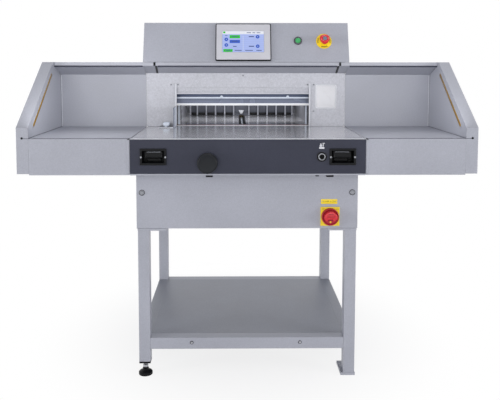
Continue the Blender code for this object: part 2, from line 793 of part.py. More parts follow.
# Face panel with the paper slot, head housing and rear hood

SOFFIT_DROP = 0.042
LIP_HEIGHT = 0.0132
LIP_RETURN = 0.020
TUNNEL_HEADROOM = 0.010
TUNNEL_MARGIN = 0.018
HOOD_SIDE_ROOM = 0.007
HOOD_HEADROOM = 0.030
FACE_SIDE_GAP = 0.0005


def lip_path(wall_top):
    # From the wall's top forward along the soffit, up the lip and a little way back
    lip_top = HEAD_BOTTOM - GAP
    lip = [(LIP_Y, lip_top - LIP_HEIGHT), (LIP_Y, lip_top), (LIP_Y + LIP_RETURN, lip_top)]
    return [(FACE_Y, wall_top)] + lip


def face_panel():
    path = [(FACE_Y, ABOVE_TABLE)] + lip_path(HEAD_BOTTOM - SOFFIT_DROP)
    half = BODY_HALF - FACE_SIDE_GAP
    panel = bent_sheet_x("face_panel", path, (-half, half))
    slot = box("paper_slot", (SLOT_LEFT, SLOT_RIGHT), grown((FACE_Y, FACE_Y + SHEET), OVERRUN),
               (TABLE_TOP - OVERRUN, SLOT_TOP))
    return finish(cut(panel, slot), PALE_PAINT)


def head_housing():
    inner_y = FACE_Y + SHEET + GAP
    # The leaning wall's inner edge hangs lower than its outer one, and clears the lip
    front_z = HEAD_BOTTOM + SHEET * sin(HEAD_LEAN)
    outline = [
        (LIP_Y, front_z),
        (inner_y, front_z),
        (inner_y, ABOVE_TABLE),
        (BODY_BACK_Y, ABOVE_TABLE),
        (BODY_BACK_Y, HEAD_TOP),
        (HEAD_TOP_Y, HEAD_TOP),
    ]
    shell = prism_x("head_housing", outline, (-BODY_HALF, BODY_HALF))
    open_shell_world(shell, [DOWN, FRONT])
    tunnel = box("tunnel_opening", grown((SLOT_LEFT, SLOT_RIGHT), TUNNEL_MARGIN),
                 around(BODY_BACK_Y, 2 * OVERRUN), (TABLE_TOP - OVERRUN, SLOT_TOP + TUNNEL_HEADROOM))
    return finish(cut(shell, tunnel), GREY_PAINT)


def rear_hood():
    half = FRAME_OUTER + HOOD_SIDE_ROOM
    z = (ABOVE_TABLE, SLOT_TOP + HOOD_HEADROOM)
    shell = box("rear_hood", (-half, half), (BODY_BACK_Y + GAP, BACK_Y), z)
    return finish(open_shell(shell, [DOWN, FRONT]), GREY_PAINT)


face_panel()
head_housing()
rear_hood()


# Paper guides behind the knife

GUIDE_HEIGHT = 0.085
GUIDE_FOOT = 0.012
GUIDE_WALL = 0.003


def paper_guide(name, side, inner_x):
    y = (CLAMP_BACK_Y + 2 * GAP, SCREW_END_Y)
    wall_x = sorted((inner_x, inner_x + side * GUIDE_WALL))
    foot_x = sorted((inner_x + side * GUIDE_WALL / 2, inner_x + side * (GUIDE_WALL + GUIDE_FOOT)))
    wall = box(name, wall_x, y, (ABOVE_TABLE, TABLE_TOP + GUIDE_HEIGHT))
    foot = box(name + "_foot", foot_x, grown(y, -EDGE_ROUND), (ABOVE_TABLE, ABOVE_TABLE + GUIDE_WALL))
    return finish(join(wall, foot), DARK_STEEL, 0.4, 0.8)


paper_guide("paper_guide_left", -1, SLOT_LEFT)
paper_guide("paper_guide_right", 1, SLOT_RIGHT)


# Knife carrier, blade, pull rod, crank disc and gearmotor

BEVEL_HEIGHT = 0.0285
EDGE_FACET_HEIGHT = 0.008
EDGE_FACET_DEPTH = 0.004
YOKE_BORDER = 0.014
YOKE_PLAY = 0.002
PIN_RADIUS = 0.009
CRANK_RADIUS = 0.056
CRANK_THICKNESS = 0.015
CRANK_RISE = 0.122
CARRIER_BORDER = 0.0353
GEARBOX_WIDTH = 0.120
GEARBOX_DEPTH = 0.116
GEARBOX_RISE = 0.063
MOTOR_RADIUS = 0.055
MOTOR_LENGTH = 0.200

DOWN_STROKE = Vector((-sin(SLANT), 0, -cos(SLANT)))
SIDEWAYS = Vector((cos(SLANT), 0, -sin(SLANT)))
CRANK_THROW = KNIFE_STROKE / 2
CRANK_Z = HOUSING_FLOOR + CRANK_RISE
# The crank turns evenly with the knife, so its pin leads and lags a true sine by this much
LAG_ANGLE = asin(2 / pi)
CRANK_LAG = CRANK_THROW * (2 * LAG_ANGLE / pi - 1 + cos(LAG_ANGLE))
CRANK_CENTRE = Vector((rod_x_at(CRANK_Z), 0, CRANK_Z))
PIN_REST = CRANK_CENTRE - CRANK_THROW * DOWN_STROKE
CRANK_Y = (ROD_Y[1] + GAP, ROD_Y[1] + GAP + CRANK_THICKNESS)


def knife_carrier():
    plate = box("knife_carrier", (CARRIER_LEFT, CARRIER_RIGHT), (CARRIER_FRONT_Y, CARRIER_BACK_Y),
                (CARRIER_BOTTOM, STUD_Z + KNIFE_DROP + CARRIER_BORDER))
    width = 2 * (STUD_RADIUS + STUD_PLAY)
    for side in (-1, 1):
        rest = Vector((side * STUD_X, 0, STUD_Z))
        loop = stadium(rest, rest - KNIFE_STROKE * DOWN_STROKE, width / 2)
        cut(plate, prism_y(f"guide_slot_{side}", [loop], grown((CARRIER_FRONT_Y, CARRIER_BACK_Y), OVERRUN)))
    return finish(plate, BARE_STEEL, 0.4, 0.9)


def stadium(start, end, radius, steps=12):
    # Outline in X and Z of a round-ended slot between two points
    along = (end - start).normalized()
    across = Vector((along.z, 0, -along.x))
    loop = []
    for centre, first in ((end, 0), (start, pi)):
        for index in range(steps + 1):
            angle = first + pi * index / steps
            point = centre + radius * (cos(angle) * across + sin(angle) * along)
            loop.append((point.x, point.z))
    return loop


def knife_blade():
    outline = [
        (CUT_Y, EDGE_Z),
        (CUT_Y, EDGE_Z + BLADE_HEIGHT),
        (BLADE_FRONT_Y, EDGE_Z + BLADE_HEIGHT),
        (BLADE_FRONT_Y, EDGE_Z + BEVEL_HEIGHT),
        (CUT_Y - EDGE_FACET_DEPTH, EDGE_Z + EDGE_FACET_HEIGHT),
    ]
    blade = prism_x("knife_blade", outline, around(0, SLOT_WIDTH + 2 * BLADE_OVERLAP))
    return finish(blade, BARE_STEEL, 0.15, 1.0)


def pull_rod():
    # A flat bar from the carrier down to a slotted yoke round the crank pin
    head = Vector((ROD_TOP_X, 0, ROD_TOP_Z))
    yoke_half = PIN_RADIUS + CRANK_LAG + YOKE_PLAY
    reach = CRANK_THROW + PIN_RADIUS + YOKE_PLAY
    bar_end = PIN_REST - (yoke_half + YOKE_BORDER / 2) * DOWN_STROKE
    bar = prism_y("pull_rod", [stadium(bar_end, head, ROD_WIDTH / 2)], ROD_Y)
    near = PIN_REST - (PIN_RADIUS + YOKE_PLAY) * SIDEWAYS
    far = PIN_REST + reach * SIDEWAYS
    yoke = prism_y("rod_yoke", [oblong(near, far, yoke_half, YOKE_BORDER)], grown(ROD_Y, -EDGE_ROUND / 2))
    window = prism_y("yoke_window", [oblong(near, far, yoke_half, 0)], grown(ROD_Y, OVERRUN))
    join(bar, yoke)
    return finish(cut(bar, window), DARK_STEEL, 0.4, 0.9)


def oblong(near, far, half, border):
    # Outline in X and Z of a slanted rectangle, grown by a border
    side = (far - near).normalized()
    corners = []
    for point, along, across in ((near, -1, -1), (far, 1, -1), (far, 1, 1), (near, -1, 1)):
        corner = point + along * border * side - across * (half + border) * DOWN_STROKE
        corners.append((corner.x, corner.z))
    return corners


def crank_disc():
    centre = (CRANK_CENTRE.x, middle(CRANK_Y), CRANK_CENTRE.z)
    disc = rod("crank_disc", centre, CRANK_RADIUS, CRANK_THICKNESS, "-y")
    pin_y = (ROD_Y[0], middle(CRANK_Y))
    pin = rod("crank_pin", (PIN_REST.x, middle(pin_y), PIN_REST.z), PIN_RADIUS, pin_y[1] - pin_y[0], "-y")
    return finish(join(disc, pin), DARK_STEEL, 0.35, 1.0)


def knife_gearmotor():
    front = CRANK_Y[1] + GAP
    x = around(CRANK_CENTRE.x, GEARBOX_WIDTH)
    z = (HOUSING_FLOOR + GAP, CRANK_Z + GEARBOX_RISE)
    gearbox = box("knife_gearmotor", x, (front, front + GEARBOX_DEPTH), z)
    motor_x = (x[0] - MOTOR_LENGTH, x[0] + OVERRUN)
    motor = rod("motor_drum", (middle(motor_x), front + GEARBOX_DEPTH / 2, CRANK_Z), MOTOR_RADIUS,
                motor_x[1] - motor_x[0], "x")
    return finish(join(gearbox, motor), DARK_STEEL, 0.5, 0.3)


knife_carrier()
knife_blade()
pull_rod()
crank_disc()
knife_gearmotor()


# Clamp beam, its screw and its gearmotor

CLAMP_GEARBOX_WIDTH = 0.070
CLAMP_GEARBOX_DEPTH = 0.050
CLAMP_GEARBOX_HEIGHT = 0.056
CLAMP_MOTOR_RADIUS = 0.024
CLAMP_MOTOR_LENGTH = 0.090
CLAMP_BORE_FLOOR = 0.005


def clamp_beam():
    inner = FRAME_INNER - 2 * GAP
    top = CLAMP_BOTTOM + CLAMP_HEIGHT
    beam = box("clamp_beam", (-inner, inner), (CLAMP_Y, CLAMP_BACK_Y), (CLAMP_BOTTOM, top))
    sleeve_z = (top - OVERRUN, top + SLEEVE_HEIGHT)
    sleeve = rod("clamp_sleeve", (SLOT_CENTRE, CLAMP_SCREW_Y, middle(sleeve_z)), SLEEVE_RADIUS,
                 sleeve_z[1] - sleeve_z[0], "z")
    bore_z = (CLAMP_SCREW_BOTTOM - CLAMP_BORE_FLOOR, sleeve_z[1] + OVERRUN)
    bore = rod("clamp_bore", (SLOT_CENTRE, CLAMP_SCREW_Y, middle(bore_z)), CLAMP_SCREW_RADIUS + RUNNING,
               bore_z[1] - bore_z[0], "z")
    join(beam, sleeve)
    return finish(cut(beam, bore), GREY_PAINT)


def clamp_screw():
    shoulder = FRAME_TOP - CLAMP_SCREW_CLEARANCE - GAP - CLAMP_SCREW_BOTTOM
    profile = [
        (0, BRIDGE_TOP - CLAMP_SCREW_BOTTOM),
        (CLAMP_JOURNAL_RADIUS, BRIDGE_TOP - CLAMP_SCREW_BOTTOM),
        (CLAMP_JOURNAL_RADIUS, shoulder),
        (CLAMP_SCREW_RADIUS, shoulder),
        (CLAMP_SCREW_RADIUS, 0),
        (0, 0),
    ]
    screw = turned("clamp_screw", profile, (SLOT_CENTRE, CLAMP_SCREW_Y, CLAMP_SCREW_BOTTOM), "z")
    return finish(screw, BARE_STEEL, 0.3, 1.0)


def clamp_gearmotor():
    z = (BRIDGE_TOP + GAP, BRIDGE_TOP + GAP + CLAMP_GEARBOX_HEIGHT)
    gearbox = box("clamp_gearmotor", around(SLOT_CENTRE, CLAMP_GEARBOX_WIDTH),
                  around(CLAMP_SCREW_Y + CLAMP_GEARBOX_DEPTH / 2 - CLAMP_DEPTH / 2, CLAMP_GEARBOX_DEPTH), z)
    motor_x = (SLOT_CENTRE, SLOT_CENTRE + CLAMP_GEARBOX_WIDTH / 2 + CLAMP_MOTOR_LENGTH)
    motor = rod("clamp_motor_drum", (middle(motor_x), gearbox.location.y, middle(z)), CLAMP_MOTOR_RADIUS,
                motor_x[1] - motor_x[0], "x")
    return finish(join(gearbox, motor), DARK_STEEL, 0.5, 0.3)


clamp_beam()
clamp_screw()
clamp_gearmotor()


# Back gauge: comb, carriage, lead screw, end bracket, motor, pulleys and belt

COMB_DEPTH = 0.040
COMB_HEIGHT = 0.090
COMB_LIFT = 0.0012
COMB_BACK_WALL = 0.010
COMB_FOOT = 0.008
COMB_SIDE_ROOM = 0.017
FIN_THICKNESS = 0.006
# Places of the fins on each side of the middle, as shares of the last one's
FIN_SHARES = (0.150, 0.329, 0.508, 0.687, 0.866, 1.0)
SCREW_RADIUS = 0.006
SCREW_DROP = 0.014
SCREW_START = 0.006
JOURNAL_RADIUS = 0.004
CARRIAGE_LENGTH = 0.055
CARRIAGE_BELOW_SCREW = 0.012
CARRIAGE_PLAY = 0.0003
BRACKET_THICKNESS = 0.004
BRACKET_WIDTH = 0.070
BRACKET_BELOW_MOTOR = 0.035
PULLEY_DISTANCE = 0.062
GAUGE_MOTOR_RADIUS = 0.030
GAUGE_MOTOR_LENGTH = 0.090
SHAFT_RADIUS = 0.004
PULLEY_WIDTH = 0.012
SCREW_PULLEY_RADIUS = 0.015
MOTOR_PULLEY_RADIUS = 0.010
BELT_THICKNESS = 0.002
BELT_WIDTH = 0.010
BRACKET_TO_PULLEY = 0.002
PULLEY_END = 0.003

COMB_BACK_Y = SCREW_END_Y - GAP
COMB_Y = COMB_BACK_Y - COMB_DEPTH
COMB_HALF = SLOT_WIDTH / 2 - COMB_SIDE_ROOM
SCREW_CENTRE_Z = TABLE_TOP - SCREW_DROP
GAUGE_MOTOR_Z = SCREW_CENTRE_Z - PULLEY_DISTANCE
SCREW_FRONT_Y = CLAMP_BACK_Y + SCREW_START
BRACKET_Y = (SCREW_END_Y + GAP, SCREW_END_Y + GAP + BRACKET_THICKNESS)
PULLEY_Y = (BRACKET_Y[1] + BRACKET_TO_PULLEY, BRACKET_Y[1] + BRACKET_TO_PULLEY + PULLEY_WIDTH)


def backgauge_comb():
    bottom = TABLE_TOP + COMB_LIFT
    top = bottom + COMB_HEIGHT
    comb = box("backgauge_comb", around(SLOT_CENTRE, 2 * COMB_HALF), (COMB_Y, COMB_BACK_Y), (bottom, top))
    edges = [share * (COMB_HALF - FIN_THICKNESS / 2) for share in FIN_SHARES]
    gaps = [(-edges[0] + FIN_THICKNESS / 2, edges[0] - FIN_THICKNESS / 2)]
    for low, high in zip(edges, edges[1:]):
        gap = (low + FIN_THICKNESS / 2, high - FIN_THICKNESS / 2)
        gaps += [gap, (-gap[1], -gap[0])]
    for index, gap in enumerate(gaps):
        x = (SLOT_CENTRE + gap[0], SLOT_CENTRE + gap[1])
        cut(comb, box(f"comb_gap_{index}", x, (COMB_Y - OVERRUN, COMB_BACK_Y - COMB_BACK_WALL),
                      (bottom + COMB_FOOT, top + OVERRUN)))
    return finish(comb, PALE_PAINT, 0.4)


def backgauge_carriage():
    width = SCREW_SLOT_WIDTH - 2 * CARRIAGE_PLAY
    y = (COMB_BACK_Y - CARRIAGE_LENGTH, COMB_BACK_Y)
    z = (SCREW_CENTRE_Z - CARRIAGE_BELOW_SCREW, TABLE_TOP + COMB_LIFT - GAP)
    block = box("backgauge_carriage", around(SLOT_CENTRE, width), y, z)
    bore = rod("carriage_bore", (SLOT_CENTRE, middle(y), SCREW_CENTRE_Z), SCREW_RADIUS + RUNNING,
               CARRIAGE_LENGTH + OVERRUN, "-y")
    return finish(cut(block, bore), BRONZE, 0.35, 1.0)


def lead_screw():
    # The pulley at the back end is fixed on the screw
    end = PULLEY_Y[1] + PULLEY_END
    length = end - SCREW_FRONT_Y
    pulley = (end - PULLEY_Y[1], end - PULLEY_Y[0])
    journal_start = end - BRACKET_Y[0] + GAP
    profile = [
        (0, length),
        (SCREW_RADIUS, length),
        (SCREW_RADIUS, journal_start),
        (JOURNAL_RADIUS, journal_start),
        (JOURNAL_RADIUS, pulley[1]),
        (SCREW_PULLEY_RADIUS, pulley[1]),
        (SCREW_PULLEY_RADIUS, pulley[0]),
        (JOURNAL_RADIUS, pulley[0]),
        (JOURNAL_RADIUS, 0),
        (0, 0),
    ]
    screw = turned("lead_screw", profile, (SLOT_CENTRE, end, SCREW_CENTRE_Z), "-y")
    return finish(screw, BARE_STEEL, 0.2, 1.0)


def screw_bracket():
    # A bearing plate under the table's rear edge that also holds the motor
    plate = box("screw_bracket", around(SLOT_CENTRE, BRACKET_WIDTH), BRACKET_Y,
                (GAUGE_MOTOR_Z - BRACKET_BELOW_MOTOR, BODY_TOP))
    neck = box("bracket_neck", around(SLOT_CENTRE, SCREW_SLOT_WIDTH), BRACKET_Y,
               (BODY_TOP - OVERRUN, TABLE_TOP))
    join(plate, neck)
    for z, radius in ((SCREW_CENTRE_Z, JOURNAL_RADIUS), (GAUGE_MOTOR_Z, SHAFT_RADIUS)):
        centre = (SLOT_CENTRE, middle(BRACKET_Y), z)
        cut(plate, rod("bracket_hole", centre, radius + RUNNING, BRACKET_THICKNESS + OVERRUN, "-y"))
    return finish(plate, GREY_PAINT)


def backgauge_motor():
    y = (BRACKET_Y[0] - GAP - GAUGE_MOTOR_LENGTH, BRACKET_Y[0] - GAP)
    motor = rod("backgauge_motor", (SLOT_CENTRE, middle(y), GAUGE_MOTOR_Z), GAUGE_MOTOR_RADIUS,
                GAUGE_MOTOR_LENGTH, "-y")
    return finish(motor, DARK_STEEL, 0.4, 0.5)


def motor_pulley():
    # The pulley and the motor's shaft turn together
    end = PULLEY_Y[1] + PULLEY_END
    pulley = (end - PULLEY_Y[1], end - PULLEY_Y[0])
    length = end - BRACKET_Y[0]
    profile = [
        (0, length),
        (SHAFT_RADIUS, length),
        (SHAFT_RADIUS, pulley[1]),
        (MOTOR_PULLEY_RADIUS, pulley[1]),
        (MOTOR_PULLEY_RADIUS, pulley[0]),
        (SHAFT_RADIUS, pulley[0]),
        (SHAFT_RADIUS, 0),
        (0, 0),
    ]
    pulley_and_shaft = turned("motor_pulley", profile, (SLOT_CENTRE, end, GAUGE_MOTOR_Z), "-y")
    return finish(pulley_and_shaft, BARE_STEEL, 0.3, 1.0)


def timing_belt():
    inner = belt_loop(GAP)
    outer = belt_loop(GAP + BELT_THICKNESS)
    belt = prism_y("timing_belt", [outer, inner], around(middle(PULLEY_Y), BELT_WIDTH))
    return finish(belt, BLACK_PLASTIC, 0.6)


def belt_loop(grow, steps=14):
    # Round the large upper pulley and the small lower one, joined by their common tangents
    lean = asin((SCREW_PULLEY_RADIUS - MOTOR_PULLEY_RADIUS) / PULLEY_DISTANCE)
    loop = []
    for centre, radius, first, last in (
        (SCREW_CENTRE_Z, SCREW_PULLEY_RADIUS + grow, -lean, pi + lean),
        (GAUGE_MOTOR_Z, MOTOR_PULLEY_RADIUS + grow, pi + lean, 2 * pi - lean),
    ):
        for index in range(steps + 1):
            angle = first + (last - first) * index / steps
            loop.append((SLOT_CENTRE + radius * cos(angle), centre + radius * sin(angle)))
    return loop


backgauge_comb()
backgauge_carriage()
lead_screw()
screw_bracket()
backgauge_motor()
motor_pulley()
timing_belt()


# Side tables with their back guards, and the end walls

APRON_BOTTOM_RISE = 0.001
APRON_RETURN = 0.020
GUARD_SOFFIT_DROP = 0.049
GUARD_BACK = 0.030
GUARD_FLANGE = 0.020
END_WALL_BOTTOM_RISE = 0.005
END_WALL_RISE = 0.036
END_WALL_SLOPE_LEAD = 0.015

END_INNER = BODY_HALF + SIDE_TABLE_WIDTH
END_OUTER = END_INNER + END_WALL
GUARD_BACK_Y = FACE_Y + GUARD_BACK
APRON_BOTTOM = BODY_BOTTOM + APRON_BOTTOM_RISE
END_WALL_BOTTOM = BODY_BOTTOM + END_WALL_BOTTOM_RISE


def side_table(name, side):
    lip_top = HEAD_BOTTOM - GAP
    path = [
        (BODY_Y + APRON_RETURN, APRON_BOTTOM),
        (BODY_Y, APRON_BOTTOM),
        (BODY_Y, TABLE_TOP),
        (FACE_Y, TABLE_TOP),
    ]
    path += lip_path(HEAD_BOTTOM - GUARD_SOFFIT_DROP)[:3]
    path += [(GUARD_BACK_Y, lip_top), (GUARD_BACK_Y, lip_top - GUARD_FLANGE)]
    inner, outer = BODY_HALF + GAP, END_INNER - GAP
    sheet = bent_sheet_x(name, path, sorted((side * inner, side * outer)))
    flange_x = sorted((side * inner, side * (inner + SHEET)))
    flange_y = (BODY_Y + SHEET / 2, FACE_Y)
    flange_z = (APRON_BOTTOM + SHEET / 2, TABLE_TOP - SHEET / 2)
    inner_flange = box(name + "_inner_flange", flange_x, flange_y, flange_z)
    back_x = sorted((side * (inner + SHEET / 2), side * outer))
    back_flange = box(name + "_back_flange", back_x, (FACE_Y - SHEET, FACE_Y + SHEET / 2), flange_z)
    return finish(join(sheet, inner_flange, back_flange), GREY_PAINT)


def end_wall(name, side):
    outline = [
        (BODY_Y, END_WALL_BOTTOM),
        (GUARD_BACK_Y, END_WALL_BOTTOM),
        (GUARD_BACK_Y, HEAD_BOTTOM),
        (LIP_Y - END_WALL_SLOPE_LEAD, HEAD_BOTTOM),
        (BODY_Y, TABLE_TOP + END_WALL_RISE),
    ]
    shell = prism_x(name, outline, sorted((side * END_INNER, side * END_OUTER)))
    return finish(open_shell_world(shell, [DOWN]), GREY_PAINT)


for label, hand in (("left", -1), ("right", 1)):
    side_table("side_table_" + label, hand)
    end_wall("end_wall_" + label, hand)


# Side lay in front of the slot, with its two wing screws

LAY_REACH = 0.070
LAY_HEIGHT = 0.080
LAY_WALL = 0.004
LAY_FOOT_WIDTH = 0.060
LAY_FOOT_THICKNESS = 0.004
LAY_MARGIN = 0.0005
WING_REACH = 0.034
WING_SPACING = 0.030
WING_STEM_RADIUS = 0.003
WING_COLLAR_RADIUS = 0.006
WING_COLLAR_HEIGHT = 0.006
WING_SPAN = 0.024
WING_HEIGHT = 0.012
WING_THICKNESS = 0.0035

LAY_Y = (FACE_Y - LAY_REACH, FACE_Y - LAY_MARGIN)
WING_X = SLOT_LEFT - WING_REACH


def wing_y(index):
    return middle(LAY_Y) + (index - 0.5) * WING_SPACING


def side_lay():
    x = (SLOT_LEFT - LAY_WALL, SLOT_LEFT)
    lay = box("side_lay", x, LAY_Y, (ABOVE_TABLE, TABLE_TOP + LAY_HEIGHT))
    foot_x = (SLOT_LEFT - LAY_FOOT_WIDTH, SLOT_LEFT - LAY_WALL / 2)
    foot = box("side_lay_foot", foot_x, grown(LAY_Y, -EDGE_ROUND),
               (ABOVE_TABLE, ABOVE_TABLE + LAY_FOOT_THICKNESS))
    join(lay, foot)
    for index in (0, 1):
        hole = rod(f"wing_hole_{index}", (WING_X, wing_y(index), ABOVE_TABLE), WING_STEM_RADIUS + RUNNING,
                   2 * OVERRUN, "z")
        cut(lay, hole)
    return finish(lay, BARE_STEEL, 0.3, 0.8)


def wing_screw(name, index):
    seat = ABOVE_TABLE + LAY_FOOT_THICKNESS + GAP
    stem = seat - ABOVE_TABLE
    profile = [
        (0, stem + WING_COLLAR_HEIGHT),
        (WING_COLLAR_RADIUS, stem + WING_COLLAR_HEIGHT),
        (WING_COLLAR_RADIUS, stem),
        (WING_STEM_RADIUS, stem),
        (WING_STEM_RADIUS, 0),
        (0, 0),
    ]
    screw = turned(name, profile, (WING_X, wing_y(index), ABOVE_TABLE), "z", SMALL_STEPS)
    wings = box(name + "_wings", around(0, WING_SPAN), around(0, WING_THICKNESS),
                (stem + WING_COLLAR_HEIGHT / 2, stem + WING_COLLAR_HEIGHT / 2 + WING_HEIGHT))
    hang_on(screw, wings)
    return finish(join(screw, rounded(wings, WING_THICKNESS / 4, 1)), BARE_STEEL, 0.3, 1.0)


side_lay()
wing_screw("wing_screw_front", 0)
wing_screw("wing_screw_rear", 1)


# Front controls: two-hand switches, hand wheel, hexagon socket

CUT_BUTTON_WIDTH = 0.060
CUT_BUTTON_HEIGHT = 0.022
CUT_BUTTON_RISE = 0.006
CUT_BUTTON_SETBACK = 0.008
CUT_BUTTON_LENGTH = 0.018
BUTTON_STEM_RADIUS = 0.006
SOCKET_RIM_RADIUS = 0.0165
SOCKET_RIM = 0.003
SOCKET_TUBE_LENGTH = 0.030
SOCKET_BORE_RADIUS = 0.0085
SPINDLE_SETBACK = 0.006
SPINDLE_LENGTH = 0.018
HEX_RADIUS = 0.005
HEX_DEPTH = 0.010
HAND_WHEEL_EDGE = 0.004
HAND_SHAFT_LENGTH = 0.030
HUB_RADIUS = 0.014
HUB_HEIGHT = 0.004


def switch_housing(name, x):
    back = FRONT_Y + SWITCH_DEPTH
    front = FRONT_Y - GAP - SWITCH_RIM
    body = box(name, around(x, SWITCH_BODY_WIDTH), (FRONT_Y - GAP - SWITCH_RIM / 2, back),
               around(CONTROL_Z, SWITCH_BODY_HEIGHT))
    rim = box(name + "_rim", around(x, SWITCH_BODY_WIDTH + 2 * SWITCH_RIM), (front, FRONT_Y - GAP),
              around(CONTROL_Z, SWITCH_BODY_HEIGHT + 2 * SWITCH_RIM))
    pocket_x = around(x, SWITCH_BODY_WIDTH - 2 * SWITCH_WALL)
    pocket_z = around(CONTROL_Z, SWITCH_BODY_HEIGHT - 2 * SWITCH_WALL)
    pocket = box(name + "_pocket", pocket_x, (front - OVERRUN, back - SWITCH_WALL), pocket_z)
    stem_hole = rod(name + "_stem_hole", (x, back, CONTROL_Z + CUT_BUTTON_RISE),
                    BUTTON_STEM_RADIUS + RUNNING, 2 * OVERRUN, "-y")
    join(body, rounded(rim))
    return finish(cut(body, pocket, stem_hole), BLACK_PLASTIC, 0.45)


def cut_button(name, x):
    front = FRONT_Y + CUT_BUTTON_SETBACK
    z = CONTROL_Z + CUT_BUTTON_RISE
    paddle = box(name, around(x, CUT_BUTTON_WIDTH), (front, front + CUT_BUTTON_LENGTH),
                 around(z, CUT_BUTTON_HEIGHT))
    stem_y = (front + CUT_BUTTON_LENGTH / 2, FRONT_Y + SWITCH_DEPTH)
    stem = rod(name + "_stem", (x, middle(stem_y), z), BUTTON_STEM_RADIUS, stem_y[1] - stem_y[0], "-y")
    return finish(join(rounded(paddle, 2 * EDGE_ROUND), stem), BLACK_PLASTIC, 0.4)


def hand_wheel():
    behind = FRONT_Y - GAP + HAND_SHAFT_LENGTH
    seat = HAND_SHAFT_LENGTH
    top = behind - (FRONT_Y - KNOB_REACH)
    profile = [
        (0, top),
        (HAND_WHEEL_RADIUS - HAND_WHEEL_EDGE, top),
        (HAND_WHEEL_RADIUS, top - HAND_WHEEL_EDGE),
        (HAND_WHEEL_RADIUS, seat + HUB_HEIGHT),
        (HUB_RADIUS, seat + HUB_HEIGHT),
        (HUB_RADIUS, seat),
        (HAND_SHAFT_RADIUS, seat),
        (HAND_SHAFT_RADIUS, 0),
        (0, 0),
    ]
    wheel = turned("hand_wheel", profile, (HAND_WHEEL_X, behind, HAND_WHEEL_Z), "-y")
    return finish(wheel, BLACK_PLASTIC, 0.4)


def socket_bezel():
    behind = FRONT_Y - GAP + SOCKET_TUBE_LENGTH
    rim_seat = SOCKET_TUBE_LENGTH
    profile = [
        (SOCKET_BORE_RADIUS, rim_seat + SOCKET_RIM),
        (SOCKET_RIM_RADIUS, rim_seat + SOCKET_RIM),
        (SOCKET_RIM_RADIUS, rim_seat),
        (SOCKET_TUBE_RADIUS, rim_seat),
        (SOCKET_TUBE_RADIUS, 0),
        (SOCKET_BORE_RADIUS, 0),
        (SOCKET_BORE_RADIUS, rim_seat + SOCKET_RIM),
    ]
    return finish(turned("socket_bezel", profile, (SOCKET_X, behind, CONTROL_Z), "-y"), BLACK_PLASTIC, 0.4)


def adjuster_spindle():
    y = (FRONT_Y + SPINDLE_SETBACK, FRONT_Y + SPINDLE_SETBACK + SPINDLE_LENGTH)
    spindle = rod("adjuster_spindle", (SOCKET_X, middle(y), CONTROL_Z), SOCKET_BORE_RADIUS - RUNNING,
                  SPINDLE_LENGTH, "-y")
    hexagon = rod("hexagon_pocket", (SOCKET_X, y[0], CONTROL_Z), HEX_RADIUS, 2 * HEX_DEPTH, "-y", 6)
    return finish(cut(spindle, hexagon), DARK_STEEL, 0.3, 1.0)


for label, hand in (("left", -1), ("right", 1)):
    switch_housing("switch_housing_" + label, hand * CUT_SWITCH_X)
    cut_button("cut_button_" + label, hand * CUT_SWITCH_X)
hand_wheel()
socket_bezel()
adjuster_spindle()


# Controls on the leaning head: their places are measured along the face from its lower edge

BEZEL_X = -0.0103
BEZEL_WIDTH = 0.217
BEZEL_MARGIN = 0.004
BEZEL_THICKNESS = 0.012
BEZEL_EDGE = 0.001
SCREEN_SHIFT = -0.0018
SCREEN_WIDTH = 0.159
SCREEN_HEIGHT = 0.085
SCREEN_CENTRE = 0.0795
SCREEN_THICKNESS = 0.003
SCREEN_SINK = 0.001
BUTTON_SPACING = 0.100
BUTTON_V = 0.087
BUTTON_BEZEL_RADIUS = 0.0155
BUTTON_BEZEL_HEIGHT = 0.004
BUTTON_BORE_RADIUS = 0.011
BUTTON_LENGTH = 0.022
BUTTON_PROUD = 0.0055
BUTTON_TUBE_LENGTH = 0.022
BUTTON_TUBE_RADIUS = 0.0125
STOP_INSET = 0.095
STOP_V = 0.085
STOP_DISC_RADIUS = 0.030
STOP_DISC_HEIGHT = 0.002
STOP_TUBE_RADIUS = 0.011
STOP_TUBE_LENGTH = 0.025
STOP_COLLAR_RADIUS = 0.014
STOP_COLLAR_HEIGHT = 0.010
STOP_STEM_RADIUS = 0.008
STOP_STEM_PROUD = 0.018
STOP_PEG_RADIUS = 0.004
STOP_PEG_HEIGHT = 0.008
STOP_HEAD_RADIUS = 0.020
STOP_HEAD_HEIGHT = 0.016
STOP_HEAD_CROWN = 0.003
STOP_LOBE_DEPTH = 0.0035
STOP_LOBES = 3
LOBE_STEPS = 12

STOP_X = BODY_HALF - STOP_INSET
BUTTON_X = STOP_X - BUTTON_SPACING


def head_face():
    empty = bpy.data.objects.new("head_face", None)
    bpy.context.scene.collection.objects.link(empty)
    empty.location = (0, LIP_Y, HEAD_BOTTOM)
    empty.rotation_euler = (-HEAD_LEAN, 0, 0)
    return empty


FACE = head_face()


def touch_panel():
    v = (BEZEL_MARGIN, HEAD_FACE_HEIGHT - BEZEL_MARGIN)
    bezel = box("touch_panel_bezel", around(BEZEL_X, BEZEL_WIDTH), (-GAP - BEZEL_THICKNESS, -GAP), v)
    rounded(bezel, BEZEL_EDGE)
    screen_front = -GAP - BEZEL_THICKNESS + SCREEN_SINK
    x, up = around(BEZEL_X + SCREEN_SHIFT, SCREEN_WIDTH), around(SCREEN_CENTRE, SCREEN_HEIGHT)
    screen = box("touch_screen", x, (screen_front, screen_front + SCREEN_THICKNESS), up)
    pocket_y = (screen_front - OVERRUN, screen_front + SCREEN_THICKNESS + GAP)
    pocket = box("screen_pocket", grown(x, GAP), pocket_y, grown(up, GAP))
    hang_on(FACE, bezel, screen, pocket)
    finish(cut(bezel, pocket), PALE_PAINT, 0.45)
    finish(screen, SCREEN_BLUE, 0.15)


